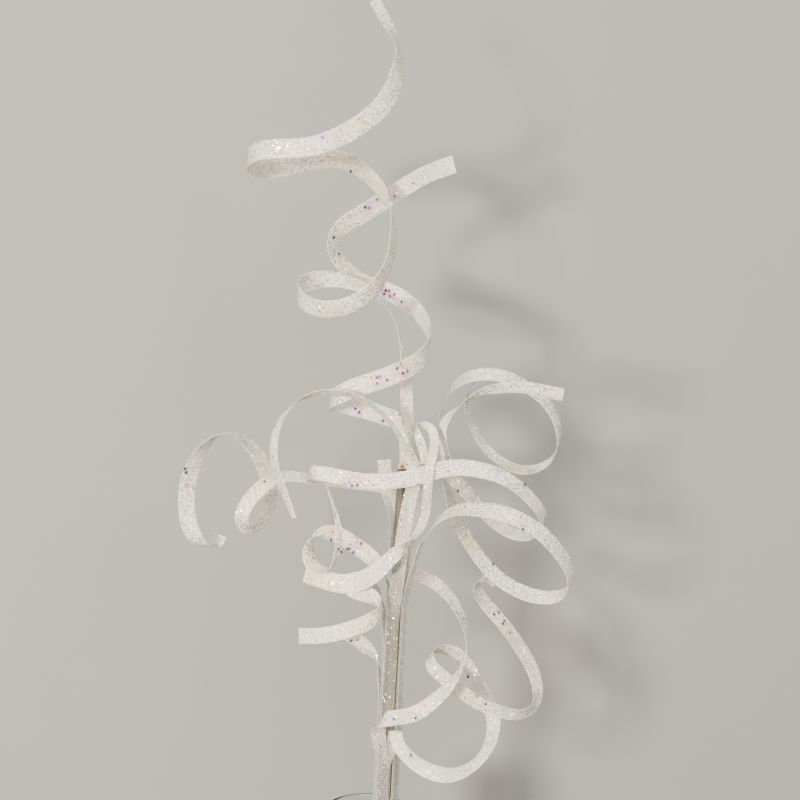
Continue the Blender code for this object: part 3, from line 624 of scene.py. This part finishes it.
# By strip: x and z in the front view, and colour
FLAKES = {
    "crown": [(-29.4, 136.8, PLUM), (-46.8, 157.2, VIOLET), (-24.6, 169.2, AMBER), (-21.6, 166.8, LIME),
        (-62.4, 151.8, WHITE_AND_PAINTED_GLINT), (-70.8, 148.2, ROSE)],
    "collar": [(-21, 115.2, PLUM), (-18.6, 115.2, VIOLET), (-13.2, 120, PLUM), (-3.6, 121.8, VIOLET),
        (7.2, 130.2, AMBER), (-40.2, 97.2, PLUM), (-36.6, 87.6, PLUM), (-12.6, 66, PLUM),
        (-10.2, 68.4, VIOLET), (-8.4, 65.4, PLUM), (-6.6, 66, PLUM), (-6, 61.8, VIOLET), (-3.6, 63, PLUM),
        (1.2, 58.8, PLUM), (-9.6, 63.6, PLUM), (-17.4, 13.2, LIME), (-13.8, 13.2, PLUM),
        (-12, 14.4, VIOLET), (-7.8, 12, PLUM), (-13.8, 9.6, VIOLET), (0, 20.4, LIME), (-1.8, 19.2, PLUM),
        (1.2, 16.2, PLUM), (4.2, 16.8, PLUM), (-27, -4.8, PLUM), (-24.6, -7.2, PLUM), (-10.2, -12.6, PLUM),
        (-5.4, -10.8, ROSE), (-22.8, -5.4, ROSE), (1.2, -7.2, SLATE)],
    "cross_band": [(-52.8, -37.8, SLATE), (-41.4, -40.8, ROSE), (-30.6, -49.2, PLUM), (-28.8, -51, PLUM),
        (-25.8, -51, PLUM), (-20.4, -49.8, ROSE), (93, -31.2, SLATE), (29.4, -60, SLATE),
        (33, -70.8, SLATE), (34.8, -49.2, WHITE_AND_PAINTED_GLINT), (39, -55.2, WHITE_AND_PAINTED_GLINT)],
    "far_left": [(-129, -41.4, SLATE), (-128.4, -43.8, SLATE), (-127.8, -52, ROSE), (-88.8, -33, WHITE_AND_PAINTED_GLINT),
        (-81, -49.2, SLATE)],
    "left_loop": [(-41.4, -84, PLUM), (-40.8, -79.2, AMBER), (-37, -89.5, VIOLET), (-35.2, -90.6, PLUM),
        (-32.6, -90.5, PLUM), (-30.6, -89.4, VIOLET), (-28.6, -91.4, PLUM), (-25.2, -90.6, WHITE_AND_PAINTED_GLINT),
        (-23.4, -86.4, PLUM), (-52.2, -95, LIME)],
    "small_loop": [(-40.8, -110.4, LIME), (15.4, -52, WHITE_AND_PAINTED_GLINT), (16.4, -58.6, AQUA)],
    "left_spur": [(-28.2, -144, ROSE), (-30, -144.6, SLATE), (-25.8, -144, AMBER)],
    "right_rings": [(25.2, -33.6, WHITE_AND_PAINTED_GLINT), (22.8, -20.4, SLATE), (67.2, -89.4, SLATE), (64.8, -89.4, SLATE)],
    "low_right": [(56.4, -129, SLATE), (59.4, -127.8, SLATE), (62.4, -132, SLATE), (61.8, -133.8, SLATE),
        (66, -139.8, SLATE), (73.8, -150.6, WHITE_AND_PAINTED_GLINT), (46.2, -177, LIME), (51.6, -182.4, PLUM),
        (40.8, -165.6, SLATE), (6, -213, PLUM)],
    "low_hook": [(13.2, -182.4, PLUM), (9.6, -190.8, SLATE), (-3.6, -191.4, SLATE)],
}
print(sum(len(placed) for placed in FLAKES.values()), "flakes are placed one by one")

# %% Seats and plates of the flakes
PLACED_RADIUS = (0.95, 1.15)
STREWN_RADIUS = (0.28, 0.5)
STREWN_PER_MM = 0.35
FLAKE_THICKNESS = 0.08
FLAKE_LIFT = 0.06
FLAKE_TILT = 0.10
SHARES = np.linspace(-0.86, 0.86, 13)
FARTHER_COSTS = 0.03
SHANK_COSTS = 2.0


def nearest_place(strip, spot):
    """Station and share of the width that show nearest to the spot, the front one where two do."""
    across = strip["across"][:, None, :] * (strip["half"][:, None] * SHARES[None, :])[..., None]
    points = strip["path"][:, None, :] + across
    cost = np.linalg.norm(to_front(points) - np.asarray(spot), axis=-1) + FARTHER_COSTS * points[..., 1]
    cost[:strip["fixed"]] += SHANK_COSTS
    station, column = np.unravel_index(np.argmin(cost), cost.shape)
    return station, SHARES[column]


def flake_seats(name, strip, seed):
    """Centre, facing, turn, radius and colour of every flake of one strip, the placed ones first."""
    random = np.random.default_rng(seed)
    placed = FLAKES.get(name, ())
    seats = np.array([nearest_place(strip, (x, z)) for x, z, _ in placed]).reshape(-1, 2)
    large = random.uniform(*PLACED_RADIUS, len(placed))
    first = strip["fixed"] // 2
    count = int((strip["run"][-1] - first) * STREWN_PER_MM)
    strewn_hues = random.choice([ROSE, WHITE_AND_PAINTED_GLINT, AQUA, WHITE_AND_PAINTED_GLINT, VIOLET, AMBER, WHITE_AND_PAINTED_GLINT, WHITE_AND_PAINTED_GLINT], count)
    colour = np.array([linear(hue) for hue in [row[2] for row in placed] + list(strewn_hues)])
    station = np.append(seats[:, 0], random.integers(first + 2, len(strip["path"]) - 2, count)).astype(int)
    share = np.append(seats[:, 1], random.uniform(-0.85, 0.85, count))
    normal = np.cross(strip["tangents"], strip["across"])[station]
    toward = np.array([EYE_RIGHT, -EYE_AWAY, EYE_UP]) - strip["path"][station]
    face = np.where(np.sum(normal * toward, axis=1) > 0.0, 1.0, -1.0)
    face[len(placed):] = random.choice([-1.0, 1.0], count)
    radius = np.append(large, random.uniform(*STREWN_RADIUS, count))
    facing = unit(normal * face[:, None] + random.normal(0.0, FLAKE_TILT, normal.shape))
    centre = (
        strip["path"][station]
        + strip["across"][station] * (strip["half"][station] * share)[:, None]
        + normal * (face * (THICKNESS / 2 + FLAKE_LIFT) + DISH * (0.5 - share**2))[:, None]
    )
    return centre, facing, random.uniform(0.0, math.pi, len(share)), radius, colour


def flake_mesh(centre, facing, turn, radius):
    """Six-sided plates: two rings of corners, centre + radius (u cos a + v sin a) +- half the thickness."""
    helper = np.where(np.abs(facing[:, 2:]) < 0.9, [[0.0, 0.0, 1.0]], [[1.0, 0.0, 0.0]])
    u = unit(np.cross(facing, helper))
    v = np.cross(facing, u)
    angle = turn[:, None] + np.arange(6) * math.pi / 3.0
    flat = np.cos(angle)[..., None] * u[:, None, :] + np.sin(angle)[..., None] * v[:, None, :]
    ring = centre[:, None, :] + radius[:, None, None] * flat
    half = FLAKE_THICKNESS / 2 * facing[:, None, :]
    points = np.concatenate((ring - half, ring + half), axis=1).reshape(-1, 3)
    k = np.arange(6)
    sides = np.stack((k, (k + 1) % 6, (k + 1) % 6 + 6, k + 6), axis=1)
    lids = np.array([(6, 7, 8, 9), (6, 9, 10, 11), (3, 2, 1, 0), (5, 4, 3, 0)])
    plate = np.vstack((sides, lids))
    faces = (plate[None] + 12 * np.arange(len(centre))[:, None, None]).reshape(-1, 4)
    return points, faces


print("strewn flakes:", STREWN_PER_MM, "to a millimetre of strip")

# %% [markdown]
# ## Glittered mesh web
# The strip is a nonwoven polyester web: flat bundles of fibre run along it, crossed by a slanting net, and
# pearl glitter is glued on both. Voronoi cells drawn out along the strip are its bundles, 1.2 mm across,
# with gaps along their edges. Two sets of wavy threads, 1.3 mm apart, cross them. All of it is drawn about
# twice as coarse as the real web, so that it shows. The gaps are see-through, more so in the bundle, where
# the glitter has rubbed off.
#
# A grain of glitter is a chip of film that faces its own way, drawn 0.7 mm across. So each cell of a finer
# Voronoi pattern takes its random colour as a direction, which tilts its normal, and one in nine is a bare
# mirror.

# %% Material of the strips
BUNDLES_PER_MM = 0.85
GRAINS_PER_MM = 1.5
THREADS_APART = 1.3
# Bands of a wave texture of scale 1 are a tenth of pi apart
WAVE_PERIOD = 0.314


def thread_set(tree, uv, turn):
    """Wavy threads that cross the strip on a slant."""
    slanted = mapped(tree, uv, Rotation=(0.0, 0.0, turn))
    return add_node(
        tree, "ShaderNodeTexWave", {"bands_direction": "X"}, Vector=slanted,
        Scale=WAVE_PERIOD / THREADS_APART, Distortion=5.0, Detail=3.0, Detail_Scale=0.7,
    ).outputs["Fac"]


def web_pattern(tree, uv, place, veil):
    """How closed the web is: the larger of fibre bundles, thread net and selvage."""
    drawn_out = mapped(tree, uv, Scale=(1.0, 0.26, 1.0))
    drawn_out = blend(tree, 0.22, drawn_out, noise(tree, uv, 0.45, 2.0, "Color"), "ADD")
    edges = {"feature": "DISTANCE_TO_EDGE"}
    cells = add_node(tree, "ShaderNodeTexVoronoi", edges, Vector=drawn_out, Scale=BUNDLES_PER_MM)
    worn = value_map(tree, noise(tree, place, 55.0, 3.0), 0.35, 0.60, 0.35, 1.0)
    fibres = maths(tree, "MULTIPLY", value_map(tree, cells.outputs["Distance"], 0.03, 0.17), worn)
    fibres = maths(tree, "MULTIPLY", fibres, value_map(tree, veil, 0.0, 1.0, 1.0, 0.05))
    net = maths(tree, "MAXIMUM", thread_set(tree, uv, 0.6), thread_set(tree, uv, -0.6))
    net = maths(tree, "MULTIPLY", value_map(tree, net, 0.45, 0.95), value_map(tree, veil, 0.0, 0.5, 0.4, 1.0))
    net = maths(tree, "POWER", net, value_map(tree, veil, 0.0, 1.0, 1.0, 6.0))
    return maths(tree, "MAXIMUM", maths(tree, "MAXIMUM", fibres, net), attribute(tree, "rim"))


def glittered_web(tree):
    """White fibres under pearl glitter, half see-through."""
    uv = add_node(tree, "ShaderNodeUVMap", {"uv_map": "flat_strip"}).outputs["UV"]
    place = object_place(tree)
    veil = attribute(tree, "veil")
    web = web_pattern(tree, uv, place, veil)

    # Glitter: where it lies, which grains are mirrors, and their colours
    cell = add_node(tree, "ShaderNodeTexVoronoi", Vector=uv, Scale=GRAINS_PER_MM).outputs["Color"]
    shade = add_node(tree, "ShaderNodeSeparateColor", Color=cell)
    dusting = value_map(tree, noise(tree, place, 42.0, 2.0), 0.36, 0.62, 0.15, 1.0)
    dusting = maths(tree, "MAXIMUM", dusting, value_map(tree, veil, 0.1, 0.4))
    mirror = value_map(tree, shade.outputs["Red"], 0.88, 0.90)
    mirror = maths(tree, "MULTIPLY", mirror, value_map(tree, dusting, 0.3, 0.7))
    cloud = noise(tree, place, 26.0, 1.0)
    pearl = ramp(tree, cloud, [(0.34, "F2EFBC"), (0.46, "FCF4D2"), (0.56, "FFF1E2"), (0.68, "F4F9EC")])
    chips = ramp(tree, shade.outputs["Green"], [
        (0.0, "8A8580"), (0.04, "D2CCBE"), (0.25, "F2ECD8"), (0.55, "FCF7E8"), (0.72, "CFF0F6"),
        (0.82, "FBD4E3"), (0.90, "F4F0AE"), (1.0, "FFFFFF"),
    ])
    body = blend(tree, dusting, pearl, chips)
    body = blend(tree, value_map(tree, web, 0.0, 1.0, 0.85, 0.0), body, "A49F90")
    # Painted light: the flakes' coloured light, multiplied into the web's colour round each cluster
    body = blend(tree, 0.9, body, attribute(tree, "painted_flake_light", "Color"), "MULTIPLY")

    # Every grain leans its own way
    lean = vector_maths(tree, "SUBTRACT", cell, (0.5, 0.5, 0.5))
    lean = vector_maths(tree, "SCALE", lean, Scale=0.75)
    normal = vector_maths(tree, "ADD", bump(tree, web, 0.6, 0.00012), lean)
    normal = vector_maths(tree, "NORMALIZE", normal)

    gaps = value_map(tree, veil, 0.0, 1.0, 0.74, 0.0)
    threads = value_map(tree, veil, 0.0, 1.0, 0.98, 0.16)
    cover = maths(tree, "ADD", gaps, maths(tree, "MULTIPLY", web, maths(tree, "SUBTRACT", threads, gaps)))
    return add_node(
        tree, "ShaderNodeBsdfPrincipled", Base_Color=body, Alpha=cover, Metallic=mirror,
        Roughness=value_map(tree, mirror, 0.0, 1.0, 0.5, 0.16), Normal=normal,
        IOR=1.57, Specular_IOR_Level=0.6, Thin_Film_Thickness=420.0, Thin_Film_IOR=1.45,
        Subsurface_Weight=0.6, Subsurface_Radius=(1.0, 0.97, 0.9), Subsurface_Scale=0.0015,
    )


web_material = make_material("glittered_polyester_web", glittered_web)
print("nodes of the strip's material:", len(web_material.node_tree.nodes))

# %% [markdown]
# ## Iridescent film
# The flakes are cut from a polyester film coated in thin clear layers, so they shift between plum, violet
# and gold. Each has its own base colour as an attribute, and a thin film on the shader's own socket adds
# the shift. The white ones placed one by one are painted highlights: they stand where glints show.

# %% Material of the flakes
def iridescent_film(tree):
    """Coated polyester film in each flake's colour, which for the placed white flakes is a painted highlight.
    """
    return add_node(
        tree, "ShaderNodeBsdfPrincipled", Base_Color=attribute(tree, "hue", "Color"),
        Roughness=0.28, Metallic=0.25, IOR=1.6, Thin_Film_Thickness=480.0, Thin_Film_IOR=1.7,
    )


film_material = make_material("iridescent_polyester_film", iridescent_film)
print("the flakes' material is ready")

# %% [markdown]
# ## Dressing the strips
# Each new band replaces its imported solid and rides on the same body. Three numbers go with every point. The
# veil is highest in the bundle, more so at its front, and falls to 0 out in the coil, where a few open
# places raise it again. The rim marks the selvage and the cut ends, where the web is closed and pale. The
# painted flake light is painted light: the coloured light that a cluster of flakes would throw on the web
# round it, painted into the web's colour.

# %% What goes with every point
BARE = {"front": 1.0, "right": 0.55, "back": 0.6, "left": 0.4, None: 0.0}
VEIL_RUN = 40.0
# Open places by strip: x and z in the front view, reach and veil
OPEN_PLACES = {
    "long_arc": ((-1, -112, 30, 0.85), (6, -75, 26, 0.6)),
    "crown": ((-29, 134, 9, 0.35), (9, -70, 26, 0.5)),
    "collar": ((-16, 118, 16, 0.3), (12, 135, 16, 0.35), (-38, 92, 10, 0.35)),
    "right_rings": ((27, -6, 17, 0.75), (33, -58, 13, 0.3), (37, -78, 12, 0.3)),
    "cross_band": ((36, -53, 11, 0.3),),
    "far_left": ((-127, -34, 14, 0.5), (-78, -42, 9, 0.4)),
    "small_loop": ((16, -63, 16, 0.6),),
    "low_right": ((74, -151, 12, 0.3), (33, -177, 12, 0.3), (47, -165, 12, 0.5)),
    "low_hook": ((12, -219, 14, 0.3),),
    "stub": ((-4, -70, 22, 0.9),),
}
RIM_WIDTH = 0.7
# Painted light round the large flakes: how strong it is and how far it reaches, in millimetres
FLAKE_LIGHT_STRENGTH = 0.85
FLAKE_LIGHT_REACH = 2.4


def veil_along(name, strip):
    """As bare as its side of the bundle, then down to 0 over the first 40 mm of the coil.

    An open place raises it to its own veil x e ^ -(distance in the front view / its reach) ^ 2.
    """
    beyond = strip["run"] - strip["run"][max(strip["fixed"] - 1, 0)]
    veil = BARE[strip["side"]] * (1.0 - smooth_ramp(beyond / VEIL_RUN))
    spots = to_front(strip["path"])
    for x, z, reach, share in OPEN_PLACES.get(name, ()):
        away = np.linalg.norm(spots - np.array([x, z]), axis=-1)
        place = share * np.exp(-((away / reach) ** 2))
        if name != "stub":
            place[:strip["fixed"]] = 0.0
        veil = np.maximum(veil, place)
    return veil


def rim_of(strip, share, run):
    """1 at the rim, falling to 0 within 0.7 mm of the two edges and 1.4 mm of the two ends."""
    from_edge = strip["half"][:, None] * (1.0 - np.abs(share))
    from_end = np.minimum(run, strip["run"][-1] - run)
    return 1.0 - smooth_ramp(np.minimum(from_edge / RIM_WIDTH, from_end / (2.0 * RIM_WIDTH)))


def painted_flake_light_at(points, centre, radius, colour):
    """Painted coloured light: white times, for each large flake, 1 - strength x (1 - its colour, softened) x
    e^(-(d / reach)^2).
    """
    tint = np.ones((len(points), 3))
    large = radius > STREWN_RADIUS[1]
    for place, hue in zip(centre[large], colour[large]):
        strength = FLAKE_LIGHT_STRENGTH * np.exp(-np.sum((points - place) ** 2, axis=1) / FLAKE_LIGHT_REACH**2)
        soft = 0.40 + 0.60 * hue / hue.max()
        tint *= 1.0 - strength[:, None] * (1.0 - soft)
    return tint


print("open places on", len(OPEN_PLACES), "strips")

# %% Strips and their flakes
# Strips lie this far apart on the pattern, so that no two show the same piece of it
UV_APART = 37.0

for number, (name, strip) in enumerate(STRIPS.items()):
    points, share, run = band(strip, seed=100 + number)
    centre, facing, turn, radius, colour = flake_seats(name, strip, seed=200 + number)
    flat = np.vstack((points.reshape(-1, 3), points[0].mean(axis=0), points[-1].mean(axis=0)))
    skin = put_mesh(name + "_web", flat, closed_faces(len(points), ROUND))
    across_along = np.stack((share * strip["half"][:, None], run + UV_APART * number), axis=-1).reshape(-1, 2)
    give_uv(skin, np.vstack((across_along, across_along[:1], across_along[-1:])))
    give_value(skin, "veil", np.append(np.repeat(veil_along(name, strip), ROUND), (0.0, 0.0)))
    give_value(skin, "rim", np.append(rim_of(strip, share, run).ravel(), (1.0, 1.0)))
    give_colour(skin, "painted_flake_light", painted_flake_light_at(flat, centre, radius, colour))
    skin.data.materials.append(web_material)
    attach(skin, "root")
    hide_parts("curl_" + name)
    plates = put_mesh(name + "_flakes", *flake_mesh(centre, facing, turn, radius), smooth=False)
    give_colour(plates, "hue", np.repeat(colour, 12, axis=0))
    plates.data.materials.append(film_material)
    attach(plates, "root")
    print(name, len(points), "stations,", len(centre), "flakes")

# %% [markdown]
# ## The stick
# A thin peeled twig, cut on a slant at the top so that its rings face the front. It is a tube carried up
# the bundle's centre line, its radius wandering a little, closed by rings that shrink to a point on each
# cut face.

# %% Stick surface
STICK_ROUND = 40
STICK_RINGS = 300
STICK_FOOT = 12.3
STICK_TOP = 393.0
STICK_RADIUS = 4.2
THINNER_BY = 1.5
THINNER_FROM = 330.0
KNOTS = ((371.0, 2.5), (300.0, 3.0))
CAP_SHARES = np.array([0.96, 0.8, 0.6, 0.4, 0.2])


def stick_surface():
    """Radius = 4.2 mm, easing to 2.7 mm above 330 mm, x (1 + small waves round and up); the top slopes back.

    Returns the points, the number of rings, whether each ring's points lie on a cut face, and their share of
    the radius.
    """
    heights = np.linspace(STICK_FOOT, STICK_TOP, STICK_RINGS)
    centre = bundle_centre(heights)
    radius = STICK_RADIUS - THINNER_BY * smooth_ramp((heights - THINNER_FROM) / (STICK_TOP - THINNER_FROM))
    turn = np.linspace(0.0, 2.0 * math.pi, STICK_ROUND, endpoint=False)
    h, a = heights[:, None], turn[None, :]
    knot = sum(np.exp(-((h - at) / spread) ** 2) for at, spread in KNOTS)
    bark = 0.965 + 0.012 * np.sin(5 * a + h * 0.05) + 0.008 * np.sin(11 * a - h * 0.11) + 0.012 * knot
    reach = radius[:, None] * bark
    rise = np.zeros_like(reach)
    rise[-1] = np.sin(turn) * reach[-1]
    side = np.stack((centre[:, :1] + np.cos(a) * reach, np.sin(a) * reach, h + rise), axis=-1)
    shrink = CAP_SHARES[:, None, None]
    bottom = side[0].mean(axis=0)
    top = side[-1].mean(axis=0)
    foot = bottom + (side[0] - bottom) * shrink[::-1]
    rings = np.concatenate((foot, side, top + (side[-1] - top) * shrink))
    face = np.ones(len(CAP_SHARES))
    cut = np.concatenate((face, np.zeros(STICK_RINGS), face))
    out = np.concatenate((CAP_SHARES[::-1], np.ones(STICK_RINGS), CAP_SHARES))
    points = np.vstack((rings.reshape(-1, 3), bottom, top))
    return points, len(rings), np.repeat(cut, STICK_ROUND), np.repeat(out, STICK_ROUND)


def bare_wood(tree):
    """Brown bark with paler patches, and the rings of the cut face by their share of the radius."""
    place = object_place(tree)
    fibre = noise(tree, mapped(tree, place, Scale=(1.0, 1.0, 0.06)), 1600.0, 4.0)
    bark = ramp(tree, fibre, [(0.30, "2E251B"), (0.45, "403A28"), (0.58, "4D3A2D"), (0.72, "655C40")])
    bark = blend(tree, value_map(tree, noise(tree, place, 70.0, 2.0), 0.4, 0.65, 0.0, 0.6), bark, "5A5343")
    face = ramp(tree, attribute(tree, "out"), [
        (0.0, "70491F"), (0.42, "80552A"), (0.52, "B79A6A"), (0.85, "C2B08D"), (1.0, "A58C62"),
    ])
    return add_node(
        tree, "ShaderNodeBsdfPrincipled", Base_Color=blend(tree, attribute(tree, "cut"), bark, face),
        Normal=bump(tree, fibre, 0.5, 0.0003), Roughness=0.72, IOR=1.5,
    )


points, rings, cut, out = stick_surface()
stick = put_mesh("stick", points, closed_faces(rings, STICK_ROUND))
give_value(stick, "cut", np.append(cut, (1.0, 1.0)))
give_value(stick, "out", np.append(out, (0.0, 0.0)))
stick.data.materials.append(make_material("peeled_willow_twig", bare_wood))
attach(stick, "root")
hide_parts("stem_core")
print("stick:", len(stick.data.polygons), "faces")

# %% [markdown]
# ## The vase
# A mouth-blown bud vase: clear soda-lime glass, thick in the foot and 2 mm in the wall. It is one closed
# profile turned about Z: out under the foot, up the outside, over a round rim and down the inside to the
# floor. Smooth curves in the profile give the glass its clean highlights.

# %% Vase surface
VASE_ROUND = 128
VASE_HEIGHT = 190.0
FOOT_RADIUS = 31.0
MOUTH_RADIUS = 23.4
GLASS_WALL = 2.0
FOOT_BEVEL = 2.0
RIM_ROUND = 1.0
FLOOR_HEIGHT = 12.0
FLOOR_CORNER = 6.0
MIDDLE_HOLE = 0.4


def vase_profile():
    """(radius, height) pairs from the middle of the base round to the middle of the floor inside.

    The outside narrows from foot to mouth with the power 1.6 of the share of the height that is left.
    """
    rim_height = VASE_HEIGHT - RIM_ROUND
    share = np.linspace(0.0, 1.0, 60)
    narrow = MOUTH_RADIUS + (FOOT_RADIUS - MOUTH_RADIUS) * (1.0 - share) ** 1.6
    outer = np.column_stack((narrow, FOOT_BEVEL + (rim_height - FOOT_BEVEL) * share))
    bevel = np.linspace(-math.pi / 2, 0.0, 8)[:-1]
    flat = FOOT_RADIUS - FOOT_BEVEL
    foot = np.column_stack((flat + FOOT_BEVEL * np.cos(bevel), FOOT_BEVEL + FOOT_BEVEL * np.sin(bevel)))
    under = np.column_stack((np.linspace(MIDDLE_HOLE, flat - 1.0, 10), np.zeros(10)))
    half_turn = np.linspace(0.0, math.pi, 11)[1:-1]
    lip = np.column_stack((np.cos(half_turn), np.sin(half_turn)))
    rim = (MOUTH_RADIUS - RIM_ROUND, rim_height) + RIM_ROUND * lip
    height = np.linspace(rim_height, FLOOR_HEIGHT + FLOOR_CORNER, 56)
    radius = np.interp(height, outer[:, 1], outer[:, 0]) - GLASS_WALL
    inner = np.column_stack((radius, height))
    well = np.linspace(0.0, math.pi / 2, 10)[1:]
    reach = radius[-1] - FLOOR_CORNER
    corner = np.column_stack((reach + FLOOR_CORNER * np.cos(well), height[-1] - FLOOR_CORNER * np.sin(well)))
    floor = np.column_stack((np.linspace(corner[-1, 0] - 2.0, MIDDLE_HOLE, 8), np.full(8, FLOOR_HEIGHT)))
    return np.vstack((under, foot, outer, rim, inner, corner, floor))


def clear_glass(tree):
    """Soda-lime glass, a trace green."""
    glass = {"Roughness": 0.015, "IOR": 1.51, "Transmission_Weight": 1.0}
    return add_node(tree, "ShaderNodeBsdfPrincipled", Base_Color="F1F6F2", **glass)


profile = vase_profile()
turn = np.linspace(0.0, 2.0 * math.pi, VASE_ROUND, endpoint=False)
radius, height = profile[:, :1], profile[:, 1:]
turned = np.stack((radius * np.cos(turn), radius * np.sin(turn), height + 0.0 * turn), axis=-1)
points = np.vstack((turned.reshape(-1, 3), (0.0, 0.0, 0.0), (0.0, 0.0, FLOOR_HEIGHT)))
vase = put_mesh("glass_vase", points, closed_faces(len(profile), VASE_ROUND))
vase.data.materials.append(make_material("clear_soda_lime_glass", clear_glass))
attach(vase, "root")
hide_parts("vase")
print("vase:", len(vase.data.polygons), "faces")

# %% [markdown]
# ## Wall, floor and light
# A pale wall close behind the spray catches soft shadows of the coils to their right. So the key light
# comes level from the left and in front, with one broad lamp high in front, one behind for the backs of the
# coils, and an even glow from all round. Seen from behind the wall is clear, so it never hides the spray.

# %% Wall and floor
WALL_DEPTH = 165.0
ROOM = 2500.0
WALL_TOP = 2400.0
FLOOR = -0.2


def painted_wall(tree):
    """Matt pale paint with faint clouds and grit, clear from behind."""
    place = object_place(tree)
    paint = add_node(
        tree, "ShaderNodeBsdfPrincipled",
        Base_Color=ramp(tree, noise(tree, place, 6.0, 3.0), [(0.35, "7B7B76"), (0.65, "7F7C75")]),
        Normal=bump(tree, noise(tree, place, 900.0, 2.0), 0.15, 0.0003), Roughness=0.8,
    ).outputs[0]
    clear = add_node(tree, "ShaderNodeBsdfTransparent").outputs[0]
    behind = add_node(tree, "ShaderNodeNewGeometry").outputs["Backfacing"]
    return add_node(tree, "ShaderNodeMixShader", {}, {0: behind, 1: paint, 2: clear})


wall = [(x, WALL_DEPTH, z) for x, z in ((-ROOM, FLOOR), (ROOM, FLOOR), (ROOM, WALL_TOP), (-ROOM, WALL_TOP))]
ground = [(x, y, FLOOR) for x, y in ((-ROOM, -ROOM), (ROOM, -ROOM), (ROOM, ROOM), (-ROOM, ROOM))]
backdrop = put_mesh("backdrop", np.array(wall + ground), np.arange(8).reshape(2, 4), smooth=False)
backdrop.data.materials.append(make_material("matt_wall_paint", painted_wall))
print("wall stands", WALL_DEPTH, "mm behind the stem")

# %% Lights
def area_light(name, place, aim, size, power, colour):
    """A square lamp, its size in metres, at a place in millimetres, turned to the spray at the height aim."""
    lamp = bpy.data.lights.new(name, "AREA")
    lamp.size = size
    lamp.energy = power
    lamp.color = linear(colour)
    item = bpy.data.objects.new(name, lamp)
    item.location = np.asarray(place) * MM
    direction = (np.array([20.0, 0.0, aim]) - np.asarray(place)) * MM
    item.rotation_euler = Vector(direction).to_track_quat("-Z", "Y").to_euler()
    bpy.context.scene.collection.objects.link(item)


area_light("key", (-900.0, -1500.0, 430.0), aim=430.0, size=0.26, power=84.0, colour="FFF9EF")
area_light("soft_fill", (500.0, -1700.0, 1300.0), aim=380.0, size=1.8, power=58.0, colour="FDFBFA")
area_light("back_fill", (-500.0, 1700.0, 1100.0), aim=380.0, size=1.6, power=36.0, colour="FDFBFA")
world = bpy.data.worlds.new("even_glow")
bpy.context.scene.world = world
world.use_nodes = True
world.node_tree.nodes.clear()
glow = add_node(world.node_tree, "ShaderNodeBackground", Color="F8F5EE", Strength=1.25)
add_node(world.node_tree, "ShaderNodeOutputWorld", Surface=glow.outputs[0])
print("key light, two fills and the glow are set")
